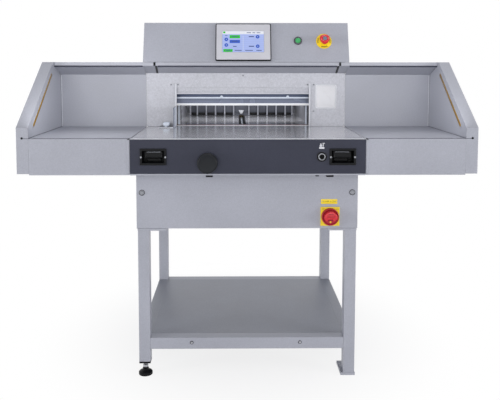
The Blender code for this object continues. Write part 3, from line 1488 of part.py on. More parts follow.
def face_hole(name, x, v, radius):
    hole = rod(name, (x, 0, v), radius + GAP, 2 * OVERRUN, "-y")
    hang_on(FACE, hole)
    return hole


def start_button():
    seat = BUTTON_TUBE_LENGTH
    profile = [
        (BUTTON_BORE_RADIUS, seat + BUTTON_BEZEL_HEIGHT),
        (BUTTON_BEZEL_RADIUS, seat + BUTTON_BEZEL_HEIGHT),
        (BUTTON_BEZEL_RADIUS, seat),
        (BUTTON_TUBE_RADIUS, seat),
        (BUTTON_TUBE_RADIUS, 0),
        (BUTTON_BORE_RADIUS, 0),
        (BUTTON_BORE_RADIUS, seat + BUTTON_BEZEL_HEIGHT),
    ]
    bezel = turned("start_button_bezel", profile, (BUTTON_X, BUTTON_TUBE_LENGTH - GAP, BUTTON_V), "-y")
    front = -GAP - BUTTON_PROUD
    y = (front, front + BUTTON_LENGTH)
    button = rod("start_button", (BUTTON_X, middle(y), BUTTON_V), BUTTON_BORE_RADIUS - RUNNING,
                 BUTTON_LENGTH, "-y")
    hang_on(FACE, bezel, button)
    finish(bezel, BARE_STEEL, 0.3, 1.0)
    finish(button, GREEN_PLASTIC, 0.3)


def emergency_stop():
    seat = STOP_TUBE_LENGTH
    base_profile = [
        (STOP_STEM_RADIUS + RUNNING, seat + STOP_DISC_HEIGHT + STOP_COLLAR_HEIGHT),
        (STOP_COLLAR_RADIUS, seat + STOP_DISC_HEIGHT + STOP_COLLAR_HEIGHT),
        (STOP_COLLAR_RADIUS, seat + STOP_DISC_HEIGHT),
        (STOP_DISC_RADIUS, seat + STOP_DISC_HEIGHT),
        (STOP_DISC_RADIUS, seat),
        (STOP_TUBE_RADIUS, seat),
        (STOP_TUBE_RADIUS, 0),
        (STOP_STEM_RADIUS + RUNNING, 0),
        (STOP_STEM_RADIUS + RUNNING, seat + STOP_DISC_HEIGHT + STOP_COLLAR_HEIGHT),
    ]
    base = turned("estop_base", base_profile, (STOP_X, seat - GAP, STOP_V), "-y")
    stem_top = seat + STOP_STEM_PROUD
    stem_profile = [
        (0, stem_top + STOP_PEG_HEIGHT),
        (STOP_PEG_RADIUS, stem_top + STOP_PEG_HEIGHT),
        (STOP_PEG_RADIUS, stem_top),
        (STOP_STEM_RADIUS, stem_top),
        (STOP_STEM_RADIUS, 0),
        (0, 0),
    ]
    stem = turned("estop_stem", stem_profile, (STOP_X, seat - GAP, STOP_V), "-y")
    head_seat = -GAP - STOP_STEM_PROUD - GAP
    head = mushroom(head_seat)
    hang_on(FACE, base, stem, head)
    finish(base, YELLOW_PLASTIC, 0.4)
    finish(stem, BLACK_PLASTIC, 0.4)
    finish(head, RED_PLASTIC, 0.35)


def mushroom(seat):
    # A knob with shallow hollows between its lobes, bored from below for the stem's peg
    count = STOP_LOBES * LOBE_STEPS
    loop = []
    for index in range(count):
        angle = 2 * pi * index / count
        radius = STOP_HEAD_RADIUS - STOP_LOBE_DEPTH * (1 - cos(STOP_LOBES * angle)) / 2
        loop.append((STOP_X + radius * sin(angle), STOP_V + radius * cos(angle)))
    head = prism_y("estop_head", [loop], (seat - STOP_HEAD_HEIGHT, seat))
    rounded(head, STOP_HEAD_CROWN, 3)
    bore_y = (seat - STOP_PEG_HEIGHT - GAP, seat + OVERRUN)
    bore = rod("estop_head_bore", (STOP_X, middle(bore_y), STOP_V), STOP_PEG_RADIUS + RUNNING,
               bore_y[1] - bore_y[0], "-y", SMALL_STEPS)
    hang_on(FACE, bore)
    bpy.context.view_layer.update()
    head.data.transform(head.matrix_world)
    head.matrix_world = Matrix.Identity(4)
    return put_origin(cut(head, bore), (STOP_X, 0, STOP_V))


touch_panel()
start_button()
emergency_stop()
cut(
    bpy.data.objects["head_housing"],
    face_hole("button_face_hole", BUTTON_X, BUTTON_V, BUTTON_TUBE_RADIUS),
    face_hole("stop_face_hole", STOP_X, STOP_V, STOP_TUBE_RADIUS),
)

bpy.context.view_layer.update()
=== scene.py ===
from math import atan2, cos, pi, radians, sin

import bmesh
import bpy
from mathutils import Matrix, Vector


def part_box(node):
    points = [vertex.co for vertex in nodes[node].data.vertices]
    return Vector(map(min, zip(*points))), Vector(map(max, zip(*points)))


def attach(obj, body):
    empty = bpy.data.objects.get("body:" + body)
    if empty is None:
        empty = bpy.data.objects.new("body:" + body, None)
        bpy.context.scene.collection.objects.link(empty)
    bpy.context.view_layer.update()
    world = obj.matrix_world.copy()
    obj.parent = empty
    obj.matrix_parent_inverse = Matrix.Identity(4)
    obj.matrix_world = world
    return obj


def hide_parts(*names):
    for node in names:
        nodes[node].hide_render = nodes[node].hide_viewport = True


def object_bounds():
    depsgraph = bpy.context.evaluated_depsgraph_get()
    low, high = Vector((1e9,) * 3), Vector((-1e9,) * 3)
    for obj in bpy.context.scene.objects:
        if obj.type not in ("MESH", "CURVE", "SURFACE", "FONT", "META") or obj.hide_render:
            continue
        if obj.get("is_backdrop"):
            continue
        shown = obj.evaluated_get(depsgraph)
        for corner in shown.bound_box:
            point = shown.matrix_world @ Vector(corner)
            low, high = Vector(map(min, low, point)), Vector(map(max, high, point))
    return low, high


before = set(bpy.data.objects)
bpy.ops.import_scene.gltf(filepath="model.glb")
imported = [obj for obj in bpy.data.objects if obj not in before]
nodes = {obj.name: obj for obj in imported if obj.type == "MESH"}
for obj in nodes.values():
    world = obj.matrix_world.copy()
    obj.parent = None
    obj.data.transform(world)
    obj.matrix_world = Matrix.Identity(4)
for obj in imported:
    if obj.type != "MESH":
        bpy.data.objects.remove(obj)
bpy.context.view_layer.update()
print("frame loaded with", len(nodes), "parts")


# materials

def hexColour(code, shade=1.0):
    channels = [int(code[i:i + 2], 16) / 255 for i in (0, 2, 4)]
    linear = [c / 12.92 if c <= 0.04045 else ((c + 0.055) / 1.055) ** 2.4 for c in channels]
    return (*[min(1.0, c * shade) for c in linear], 1.0)


def addNode(tree, kind, inputs=None, **settings):
    node = tree.nodes.new("ShaderNode" + kind)
    for name, value in settings.items():
        setattr(node, name, value)
    for name, value in (inputs or {}).items():
        if isinstance(value, bpy.types.NodeSocket):
            tree.links.new(value, node.inputs[name])
        else:
            node.inputs[name].default_value = value
    return node


def mixed(tree, share, first, second):
    return addNode(tree, "Mix", {0: share, 6: first, 7: second}, data_type="RGBA").outputs[2]


def ranged(tree, value, fromMin, fromMax, toMin=0.0, toMax=1.0, **settings):
    return addNode(tree, "MapRange", {"Value": value, "From Min": fromMin, "From Max": fromMax,
                                      "To Min": toMin, "To Max": toMax}, **settings).outputs["Result"]


def emptyMaterial(name):
    material = bpy.data.materials.new(name)
    material.use_nodes = True
    material.node_tree.nodes.clear()
    return material, material.node_tree


# what a surface has where its own values don't say otherwise; sizes in metres
plainLook = {
    "edge": None,              # painted highlight colour along folds and broken edges
    "edgeShow": 0.16,          # how strongly the painted highlight shows
    "fold": 0.0016,            # radius that the edges seem to have
    "glow": 0.0,               # painted glow: light of its own that brightens facets and edges as if lit
    "cloudSize": 0.2,         # slow change of tone and gloss
    "mottle": 0.05,
    "roughness": 0.42,
    "swing": 0.045,
    "grainSize": 0.004,        # orange peel, grinding lines or moulding grain
    "grainStretch": (1, 1, 1),
    "grainTone": 0.06,
    "grainDepth": 0.00012,
    "grainBump": 0.35,
    "flecks": 0.0,             # pale flecks, share of colour
    "fleckSize": 0.006,
    "metallic": 0.0,
    "specular": 0.5,
}
noiseLow, noiseHigh = 0.3, 0.7     # where nearly all values of the noise lie


def surface(name, colour, **changes):
    look = {**plainLook, **changes}
    edge = hexColour(look["edge"] or colour)
    material, tree = emptyMaterial(name)
    place = addNode(tree, "TexCoord").outputs["Object"]
    drawn = addNode(tree, "Mapping", {"Vector": place, "Scale": [1.0 / s for s in look["grainStretch"]]})
    clouds = addNode(tree, "TexNoise", {"Vector": place, "Scale": 1.0 / look["cloudSize"],
                                        "Detail": 3.0}).outputs["Fac"]
    grains = addNode(tree, "TexNoise", {"Vector": drawn.outputs["Vector"], "Detail": 2.0,
                                        "Scale": 1.0 / look["grainSize"], "Roughness": 0.6}).outputs["Fac"]
    # rounded normal at the edges, and a mask of where it departs from the face, along which the edge colour is
    # painted in as a highlight
    bent = addNode(tree, "Bevel", {"Radius": look["fold"]}, samples=4).outputs["Normal"]
    flat = addNode(tree, "NewGeometry").outputs["Normal"]
    alike = addNode(tree, "VectorMath", {0: bent, 1: flat}, operation="DOT_PRODUCT").outputs["Value"]
    # painted highlight: the edge colour mixed in where the rounded normal turns away from the face
    paintedEdgeHighlight = ranged(tree, alike, 0.99, 0.8, 0.0, look["edgeShow"])
    tone = mixed(tree, ranged(tree, clouds, noiseLow, noiseHigh), hexColour(colour, 1 - look["mottle"]),
                 hexColour(colour, 1 + look["mottle"]))
    dusted = addNode(tree, "MixRGB", {"Fac": ranged(tree, grains, noiseLow, noiseHigh), "Color1": tone,
                                      "Color2": (*[1 - 2 * look["grainTone"]] * 3, 1.0)})
    dusted.blend_type = "MULTIPLY"
    tone = dusted.outputs["Color"]
    if look["flecks"]:
        cells = addNode(tree, "TexVoronoi", {"Vector": place, "Scale": 1.0 / look["fleckSize"]})
        tone = mixed(tree, ranged(tree, cells.outputs["Distance"], 0.38, 0.0, 0.0, look["flecks"]), tone, edge)
    gloss = ranged(tree, clouds, noiseLow, noiseHigh, look["roughness"] - look["swing"],
                   look["roughness"] + look["swing"])
    bump = addNode(tree, "Bump", {"Strength": look["grainBump"], "Distance": look["grainDepth"],
                                  "Height": grains, "Normal": bent})
    shader = addNode(tree, "BsdfPrincipled", {"Base Color": mixed(tree, paintedEdgeHighlight, tone, edge), "Roughness": gloss,
                                              "Metallic": look["metallic"], "Normal": bump.outputs["Normal"],
                                              "Specular IOR Level": look["specular"],
                                              "Emission Color": hexColour(colour),
                                              "Emission Strength": look["glow"]})
    addNode(tree, "OutputMaterial", {"Surface": shader.outputs["BSDF"]})
    return material


def litSurface(name, colour, strength=0.9, rowPitch=0.0012):
    # backlit display behind glass: rows of picture points 0.3 mm apart, drawn coarser to show
    material, tree = emptyMaterial(name)
    place = addNode(tree, "TexCoord").outputs["Object"]
    rows = addNode(tree, "TexWave", {"Vector": place, "Scale": 1 / (20 * rowPitch)}, bands_direction="Z")
    glow = addNode(tree, "TexNoise", {"Vector": place, "Scale": 18.0, "Detail": 1.0})
    tone = mixed(tree, glow.outputs["Fac"], hexColour(colour, 0.94), hexColour(colour, 1.06))
    lit = mixed(tree, ranged(tree, rows.outputs["Fac"], 0.0, 1.0, 0.0, 0.06), tone, (0, 0, 0, 1))
    shader = addNode(tree, "BsdfPrincipled", {"Base Color": hexColour("14161C"), "Roughness": 0.15,
                                              "Emission Color": lit, "Emission Strength": strength})
    addNode(tree, "OutputMaterial", {"Surface": shader.outputs["BSDF"]})
    return material


# polyester powder sprayed on sheet steel and baked: an even satin skin with fine orange peel, with a
# paler colour painted along the folds as a highlight. Real peel is 1 to 2 mm, drawn twice as coarse to show
powderGrey = surface("powderCoatGrey", "A6A8B2", edge="CDCFD8")
powderHead = surface("powderCoatHead", "A3A5AF", edge="C9CBD4")
powderSoffit = surface("powderCoatSoffit", "A3A5AF", edgeShow=0.0)
powderShelf = surface("powderCoatShelf", "8E919B", edge="B4B7C0", mottle=0.08)
# a paler copy of the grey powder, used as painted highlight on folds, hems and edges, and on the nose of the
# backgauge
powderPale = surface("powderCoatPale", "D2D4DB", edge="F4F5F8", mottle=0.03)
# the same powder in charcoal, smoother and a little glossier
powderCharcoal = surface("powderCoatCharcoal", "373946", edge="6C6F7C", mottle=0.1, roughness=0.38,
                         specular=0.15)
# textured powder on the face sheet: leathery grain of 3 to 6 mm with pale flecks
texturedFace = surface("texturedPowderFace", "C0C1C9", edge="E4E5EA", mottle=0.06, grainSize=0.007,
                       grainTone=0.08, grainDepth=0.0003, grainBump=0.5, flecks=0.35)
# table steel ground flat: scratches run front to back, drawn 2 mm wide, with rubbed clouds of gloss
groundTable = surface("groundTableSteel", "DEDEE2", edge="EDEDF0", metallic=0.55, roughness=0.16,
                      swing=0.04, cloudSize=0.12, grainSize=0.0018, grainStretch=(1, 40, 1),
                      grainTone=0.07, grainDepth=0.00008, grainBump=0.12, fold=0.0012)
# knife steel ground along the blade, and plain white with a painted glow, for painted highlights on its honed
# facet and on the table
groundBlade = surface("groundBladeSteel", "8F97AB", edge="DDE0E8", metallic=0.3, roughness=0.26,
                      grainSize=0.0018, grainStretch=(60, 1, 1), grainDepth=0.00008, grainBump=0.12)
paintedHighlightWhite = surface("paintedHighlightFacet", "F6F7FA", edge="FFFFFF", roughness=0.3, glow=0.28, mottle=0.01,
                     grainTone=0.01, grainStretch=(60, 1, 1), grainDepth=0.00002)
# zinc-plated guide edges and screws with a bluish sheen and a painted glow as if lit, and the blued steel of
# the knife carrier, its dark tone also painted shade under the guard
zincEdgePaintedGlow = surface("zincPlatedEdgePaintedGlow", "D2DAE8", edge="F2F4F8", roughness=0.3, mottle=0.03, glow=0.1)
bluedSteelAndShade = surface("bluedCarrierSteelAndShade", "58617A", edge="7D869C", roughness=0.35, mottle=0.06)
# enamelled sheet of the paper guides: smooth, with pale edges painted as highlights
paintedGuide = surface("enamelledGuide", "85868D", edge="D8D9DE", roughness=0.3, mottle=0.05)
# turned and zinc-plated steel: even, slightly cloudy grey
turnedSteel = surface("zincPlatedSteel", "B0B1B6", edge="D8D9DE", metallic=1.0, roughness=0.32,
                      cloudSize=0.03, grainSize=0.002, grainDepth=0.00006, fold=0.0008)
# the same plating dulled by handling, on small screws and the side lay
dullSteel = surface("dullPlatedSteel", "8B8D93", edge="B4B6BC", metallic=1.0, roughness=0.45,
                    cloudSize=0.02, grainSize=0.002, grainDepth=0.00006, fold=0.0006)
# steel with a black oxide finish: dark, oily satin
blackSteel = surface("blackenedSteel", "4E4F55", edge="7A7B82", metallic=1.0, roughness=0.42,
                     cloudSize=0.05, grainSize=0.003, grainStretch=(1, 1, 8), fold=0.001)
# anodised aluminium extrusion: matt with drawing lines along its length
anodised = surface("anodisedAluminium", "50525A", edge="8A8C94", metallic=1.0, roughness=0.5,
                   grainSize=0.002, grainStretch=(1, 1, 20), fold=0.0006)
# cast bronze, machined on its faces
castBronze = surface("castBronze", "3A3226", edge="8A7448", metallic=1.0, roughness=0.4, grainSize=0.004)
# enamel on sand-cast iron: soft lumps of 8 mm under a satin skin
paintedIron = surface("paintedCastIron", "5E6468", edge="7C8286", roughness=0.52, cloudSize=0.09,
                      mottle=0.12, grainSize=0.008, grainDepth=0.0005, grainBump=0.6, fold=0.003)
# moulded ABS with a spark-eroded grain, a touch paler along its edges as painted highlight
blackAbs = surface("blackAbs", "121316", edge="2A2C31", roughness=0.36, specular=0.12, cloudSize=0.03,
                   mottle=0.1, grainSize=0.0015, grainDepth=0.00006, fold=0.0008)
gripAbs = surface("softTouchAbs", "1E2024", edge="363940", roughness=0.5, specular=0.15, cloudSize=0.03,
                  mottle=0.08, grainSize=0.0025, grainDepth=0.0001, fold=0.0012)
paleAbs = surface("paleGreyAbs", "C3C3CA", edge="E6E6EC", roughness=0.42, cloudSize=0.05, mottle=0.03,
                  grainSize=0.0015, grainTone=0.03, grainDepth=0.00005, fold=0.0012)
redAbs = surface("redAbs", "D4202C", edge="F05058", roughness=0.3, cloudSize=0.03,
                 grainSize=0.0015, grainDepth=0.00004, fold=0.001)
redRim = surface("redAbsRim", "A80F24", edge="C8283A", roughness=0.35, mottle=0.05)
slateInsert = surface("slateAbs", "6B7C8C", edge="93A2B0", roughness=0.4, cloudSize=0.01,
                      grainSize=0.001, grainDepth=0.00003, fold=0.0004)
# stove enamel on aluminium plate: smooth and bright
yellowEnamel = surface("yellowEnamel", "F2D41E", edge="F7DA58", roughness=0.36, cloudSize=0.04,
                       grainSize=0.002, grainTone=0.03, grainDepth=0.00004, fold=0.0006)
# cast acrylic cap: glassy green with cloudy depth
greenAcrylic = surface("greenAcrylic", "3FA964", edge="86DDA2", roughness=0.16, cloudSize=0.012,
                       mottle=0.14, grainSize=0.002, grainDepth=0.00002, fold=0.0008)
# printed polyester film and screen-printed ink: flat, faintly uneven
whiteFilm = surface("whitePolyesterFilm", "F0F0F4", edge="FFFFFF", roughness=0.34, mottle=0.015,
                    cloudSize=0.04, grainTone=0.015, grainDepth=0.00002)
inkGrey, inkWhite, inkBlack = [
    surface(name + "Print", colour, roughness=0.5, cloudSize=0.02, grainDepth=0.00002)
    for name, colour in (("grey", "A9ACB6"), ("white", "D9DAE0"), ("black", "1A1A1D"))]
# amber acrylic that hides the light curtain's diodes: smooth, with deeper and paler patches
amberAcrylic = surface("amberAcrylic", "8A6A1E", edge="A8842E", roughness=0.2, cloudSize=0.02,
                       mottle=0.18, grainDepth=0.00002, fold=0.0006)
# cast nylon cutting stick, scored by the knife along its length
redNylon = surface("redNylon", "CE2A3C", edge="E8707C", roughness=0.42, grainSize=0.0015,
                   grainStretch=(40, 1, 1), grainDepth=0.00015, fold=0.0006)
# neoprene belt: dull, with a fine cloth grain
beltRubber = surface("neopreneBelt", "1B1B1C", edge="343436", roughness=0.7, grainSize=0.003,
                     grainDepth=0.0002)
# float glass over a black mask
maskGlass = surface("maskedGlass", "14161C", roughness=0.1, swing=0.02, mottle=0.04, grainTone=0.0,
                    grainDepth=0.00001, fold=0.0004)
print("materials made")


# which finish each part of the frame carries
finishes = (
    (powderGrey, """stand_side_left stand_side_right shelf_rail_front shelf_rail_rear lower_housing
        rear_service_panel table_body rear_hood clamp_beam screw_bracket side_table_left side_table_right
        end_wall_left end_wall_right"""),
    (powderHead, "head_housing"),
    (powderShelf, "shelf_panel"),
    (powderCharcoal, "front_panel"),
    (texturedFace, "face_panel"),
    (paintedIron, "side_frame_left side_frame_right frame_bridge"),
    (groundTable, "machine_table"),
    (groundBlade, "knife_blade"),
    (turnedSteel, "start_button_bezel clamp_screw motor_pulley"),
    (bluedSteelAndShade, "knife_carrier"),
    (dullSteel, "side_lay"),
    (paintedGuide, "paper_guide_left paper_guide_right"),
    (zincEdgePaintedGlow, "lead_screw wing_screw_front wing_screw_rear"),
    (blackSteel, "pull_rod crank_disc knife_gearmotor clamp_gearmotor backgauge_motor"),
    (anodised, "backgauge_comb"),
    (castBronze, "backgauge_carriage"),
    (blackAbs, """adjuster_spindle leveling_foot_front leveling_foot_rear mains_inlet estop_stem
        switch_housing_left switch_housing_right cut_button_left cut_button_right socket_bezel"""),
    (gripAbs, "hand_wheel"),
    (paleAbs, "touch_panel_bezel"),
    (maskGlass, "touch_screen"),
    (yellowEnamel, "main_switch_plate estop_base"),
    (redAbs, "main_switch_knob estop_head"),
    (greenAcrylic, "start_button"),
    (redNylon, "cutting_stick"),
    (beltRubber, "timing_belt"),
)
for material, names in finishes:
    for name in names.split():
        for holder in nodes[name].material_slots:
            holder.material = material
print("parts painted")


# shaping helpers: parts are drawn lying on their back with +Z towards the viewer, then turned and placed

hair = 0.0001          # keeps faces that lie on each other apart
film = 0.0002          # thickness of prints and foils
headFoot = Vector((0, -0.18, 1.131))      # lower edge of the head's leaning face
headLean = atan2(0.052, 0.152)
sides = ((-1, "left"), (1, "right"))
bm = bmesh.new()       # the piece in hand: cast fills it, makePiece takes it and leaves it empty


def spun(degrees, axis="Z"):
    return Matrix.Rotation(radians(degrees), 4, axis)


def facing(x, y, z, turn=0.0):
    # on the front of the machine; turn 180 puts a part on the back
    return Matrix.Translation((x, y, z)) @ spun(turn) @ spun(90, "X")


def onHead(x, out, v):
    # on the leaning face of the head: v is the height along the face, out the distance in front of it
    lean = Matrix.Translation(headFoot) @ Matrix.Rotation(-headLean, 4, "X")
    return lean @ Matrix.Translation((x, -out, v)) @ spun(90, "X")


def polar(radius, angle):
    return Vector((cos(angle), sin(angle))) * radius


def cast(part, place=Matrix(), material=0):
    # adds a finished part to the piece in hand
    bmesh.ops.transform(part, matrix=place, verts=part.verts)
    for face in part.faces:
        face.material_index = material
    spare = bpy.data.meshes.new("spare")
    part.to_mesh(spare)
    part.free()
    bm.from_mesh(spare)
    bpy.data.meshes.remove(spare)


def rounded(part, edges, width, steps=2):
    bmesh.ops.bevel(part, geom=edges, offset=width, offset_type="OFFSET", affect="EDGES", segments=steps,
                    profile=0.5, material=-1, clamp_overlap=True)


def push(part, drawn, way):
    # moves what an extrusion has drawn out
    bmesh.ops.translate(part, verts=[g for g in drawn if isinstance(g, bmesh.types.BMVert)], vec=way)


def bar(size, middle=(0, 0, 0)):
    part = bmesh.new()
    bmesh.ops.create_cube(part, size=1.0, matrix=Matrix.Translation(middle) @ Matrix.Diagonal((*size, 1)))
    return part


def plate(width, height, thick, corner=0.0, edge=0.0, base=0.0, cornerSteps=4, edgeSteps=2):
    # a plate with rounded corners and a broken front edge, its back at base
    part = bar((width, height, thick), (0, 0, base + thick / 2))
    if corner:
        rounded(part, [e for e in part.edges if abs(e.verts[0].co.z - e.verts[1].co.z) > thick / 2], corner,
                cornerSteps)
    if edge:
        rounded(part, [e for e in part.edges if all(v.co.z > base + thick * 0.999 for v in e.verts)], edge,
                edgeSteps)
    return part


def sink(part, margin, depth, flare):
    # a pocket in the front face: a flat rim of width margin, then walls down by depth to a smaller floor
    top = max(part.faces, key=lambda f: (round(f.calc_center_median().z, 5), f.calc_area()))
    bmesh.ops.inset_region(part, faces=[top], thickness=margin, use_even_offset=True)
    pocket = bmesh.ops.extrude_discrete_faces(part, faces=[top])["faces"][0]
    centre = pocket.calc_center_median()
    bmesh.ops.translate(part, verts=pocket.verts, vec=(0, 0, -depth))
    bmesh.ops.scale(part, verts=pocket.verts, vec=(flare, flare, 1),
                    space=Matrix.Translation((-centre.x, -centre.y, 0)))
    return part


def turned(profile, steps=32, lobes=0, lobeDepth=0.0):
    # a part turned on a lathe, from (radius, height) points; lobes press finger grips into it
    part = bmesh.new()
    verts = [part.verts.new((radius, 0, height)) for radius, height in profile]
    edges = [part.edges.new(pair) for pair in zip(verts, verts[1:])]
    bmesh.ops.spin(part, geom=verts + edges, cent=(0, 0, 0), axis=(0, 0, 1), angle=2 * pi,
                   steps=steps, use_merge=True)
    bmesh.ops.remove_doubles(part, verts=part.verts, dist=1e-6)
    bmesh.ops.recalc_face_normals(part, faces=part.faces)
    if lobes:
        outer = max(radius for radius, height in profile)
        for vert in part.verts:
            across = vert.co.to_2d()
            share = max(0.0, across.length / outer - 0.55) / 0.45
            dent = 1 - lobeDepth * share * (0.5 - 0.5 * cos(lobes * atan2(across.y, across.x)))
            vert.co.x, vert.co.y = across.x * dent, across.y * dent
    return part


def disc(radius, thick):
    return turned([(0, thick), (radius, thick), (radius, 0), (0, 0)], 20)


def stud(radius, height, neck, shoulder, lean=0.0):
    # a low button: flat top as wide as neck, shoulder at its own height, foot wider by lean
    return turned([(0, height), (neck, height), (radius, shoulder), (radius + lean, 0), (0, 0)], 20)


def ring(outer, inner, height, edge, steps):
    # a flat ring with a square section and broken front edges
    edge = min(edge, height / 3, (outer - inner) / 3)
    return turned([(inner, 0), (outer, 0), (outer, height - edge), (outer - edge, height),
                   (inner + edge, height), (inner, height - edge), (inner, 0)], steps)


def screwHead(radius, height, steps=20):
    # cheese head with a socket
    return turned([(0, height * 0.4), (radius * 0.45, height * 0.4), (radius * 0.5, height * 0.92),
                   (radius * 0.72, height), (radius * 0.94, height * 0.75), (radius, height * 0.4),
                   (radius, 0), (0, 0)], steps)


def strip(start, end, width, thick):
    # a flat bar between two points of a plane, for drawn lines
    along = end - start
    middle = (start + end) / 2
    part = plate(along.length, width, thick)
    turn = Matrix.Rotation(atan2(along.y, along.x), 4, "Z")
    bmesh.ops.transform(part, matrix=Matrix.Translation((middle.x, middle.y, 0)) @ turn, verts=part.verts)
    return part


def block(first, second, edge=0.0, steps=2):
    # a bar between two corners of the machine's own frame, all its edges broken
    first, second = Vector(first), Vector(second)
    part = bar([abs(size) for size in second - first], (first + second) / 2)
    if edge:
        rounded(part, part.edges[:], edge, steps)
    return part


def foldedSheet(points, run, outward, thick):
    # a sheet folded at points and drawn out by run; outward is the side that its faces look to
    part = bmesh.new()
    verts = [part.verts.new(point) for point in points]
    edges = [part.edges.new(pair) for pair in zip(verts, verts[1:])]
    push(part, bmesh.ops.extrude_edge_only(part, edges=edges)["geom"], run)
    bmesh.ops.recalc_face_normals(part, faces=part.faces)
    if sum(face.normal.dot(Vector(outward)) for face in part.faces) < 0:
        bmesh.ops.reverse_faces(part, faces=part.faces)
    bmesh.ops.solidify(part, geom=part.faces[:], thickness=thick)
    return part


def threaded(low, high, radius, pitch, crest, steps=16):
    # a screw thread along z: a ridge section spun upwards
    part = bmesh.new()
    half = pitch * 0.42
    ridge = [part.verts.new(point) for point in ((radius - 0.0004, 0, -half), (radius + crest, 0, 0),
                                                 (radius - 0.0004, 0, half))]
    edges = [part.edges.new(pair) for pair in zip(ridge, ridge[1:])]
    turns = int((high - low - pitch) / pitch)
    bmesh.ops.spin(part, geom=ridge + edges, cent=(0, 0, 0), axis=(0, 0, 1), angle=2 * pi * turns,
                   steps=steps * turns, dvec=(0, 0, pitch / steps))
    bmesh.ops.translate(part, verts=part.verts, vec=(0, 0, low + pitch / 2))
    loose = [edge for edge in part.edges if edge.is_boundary]
    bmesh.ops.holes_fill(part, edges=loose, sides=4)
    bmesh.ops.recalc_face_normals(part, faces=part.faces)
    return part


def addObject(name, data):
    added = bpy.data.objects.new(name, data)
    bpy.context.scene.collection.objects.link(added)
    return added


def wordMesh(text, size):
    # a generic mark such as 0 or I, as a thin raised print
    curve = bpy.data.curves.new("mark", "FONT")
    curve.body = text
    curve.size = size
    curve.extrude = film / 2
    curve.align_x, curve.align_y = "CENTER", "CENTER"
    holder = addObject("mark", curve)
    mesh = bpy.data.meshes.new_from_object(holder)
    part = bmesh.new()
    part.from_mesh(mesh)
    bpy.data.objects.remove(holder)
    bpy.data.meshes.remove(mesh)
    return part


def makePiece(name, slotName, *materials, body="frame", smoothAngle=35, replaced=None):
    mesh = bpy.data.meshes.new(name)
    bm.to_mesh(mesh)
    bm.clear()
    for material in materials:
        mesh.materials.append(material)
    mesh.polygons.foreach_set("use_smooth", [True] * len(mesh.polygons))
    mesh.set_sharp_from_angle(angle=radians(smoothAngle))
    piece = addObject(name, mesh)
    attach(piece, body)
    if replaced:
        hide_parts(replaced)


# control panel with its display, on the head

display = {
    "centre": (-0.0112, 0.079),    # middle of the bezel on the head's face
    "bezel": (0.2065, 0.144),
    "seat": 0.0003,                # distance from the face to the back of the bezel
    "corner": 0.0035,
    "crown": 0.0022,
    "shadowFrameShow": 0.0032,
    "shadowFrameThick": 0.0085,
    "shadowFrameCorner": 0.005,
    "screenCentre": (-0.0121, 0.0795),
    "screen": (0.159, 0.085),
    "screenOut": 0.0113,
    "maskShow": 0.0015,            # dark glass round the page
    "lift": 0.0003,                # step between the layers of the page
}
d = display
x, v = d["centre"]
width, height = d["bezel"]
# a black frame round the bezel, painted as the shadow outline along its sides
grow = 2 * d["shadowFrameShow"]
cast(plate(width + grow, height + grow, d["shadowFrameThick"], d["shadowFrameCorner"], 0.0012), onHead(x, d["seat"], v))
makePiece("bezelShadowFrame", "black_plastic", blackAbs)
# bezel plate with a crowned edge, and the mask of the glass round the screen
cast(plate(width, height, d["screenOut"] - d["seat"], d["corner"], d["crown"], edgeSteps=4),
     onHead(x, d["seat"], v))
x, v = d["screenCentre"]
width, height = d["screen"]
grow = 2 * d["maskShow"]
cast(plate(width + grow, height + grow, film, d["maskShow"]), onHead(x, d["screenOut"] + hair, v), 1)
makePiece("bezelPlate", "pale_plastic", paleAbs, inkGrey, replaced="touch_panel_bezel")

# page of the display: bars and keys with neither words nor signs
screenColours = (
    litSurface("screenBlue", "ADBEF6"),
    litSurface("screenHeader", "EEF1FC"),
    litSurface("screenGreen", "04C40C"),
    litSurface("screenButton", "2358C8"),
    litSurface("screenInk", "3A4C86"),
    litSurface("screenPale", "D2DCFD"),
)
screenBlocks = (
    # middle and size as shares of the page from its lower left corner, layer, colour
    (0.5, 0.5, 1, 1, 1, 0), (0.5, 0.925, 1, 0.15, 2, 1), (0.045, 0.935, 0.055, 0.085, 3, 2),
    (0.64, 0.92, 0.11, 0.03, 3, 4), (0.76, 0.92, 0.07, 0.03, 3, 4), (0.87, 0.92, 0.09, 0.03, 3, 4),
    (0.5, 0.43, 0.012, 0.7, 2, 5), (0.3, 0.73, 0.25, 0.15, 2, 2), (0.3, 0.735, 0.15, 0.03, 3, 4),
    (0.3, 0.5, 0.25, 0.15, 2, 3), (0.3, 0.505, 0.14, 0.03, 3, 4), (0.3, 0.265, 0.09, 0.035, 2, 4),
    (0.7, 0.735, 0.13, 0.045, 2, 4), (0.7, 0.27, 0.13, 0.045, 2, 4), (0.095, 0.78, 0.06, 0.025, 2, 4),
    (0.135, 0.07, 0.225, 0.13, 2, 2), (0.135, 0.075, 0.13, 0.028, 3, 4), (0.38, 0.075, 0.17, 0.032, 2, 4),
    (0.64, 0.075, 0.19, 0.032, 2, 4), (0.88, 0.075, 0.13, 0.032, 2, 4),
)
roundKeys = ((0.095, 0.6), (0.095, 0.33), (0.85, 0.725), (0.85, 0.275))


def onPage(across, up, layer):
    return onHead(x + (across - 0.5) * width, d["screenOut"] + d["lift"] * layer, v + (up - 0.5) * height)


thick = d["lift"] * 0.9
for across, up, wide, tall, layer, colour in screenBlocks:
    cast(plate(wide * width, tall * height, thick, 0.0012 if layer > 1 else 0.002),
         onPage(across, up, layer), colour)
for across, up in roundKeys:
    for radius, layer, colour in ((0.0072, 2, 3), (0.0014, 3, 1)):
        cast(disc(radius, thick), onPage(across, up, layer), colour)
makePiece("displayPage", "screen", *screenColours)


# start button: acrylic cap in a plated ring

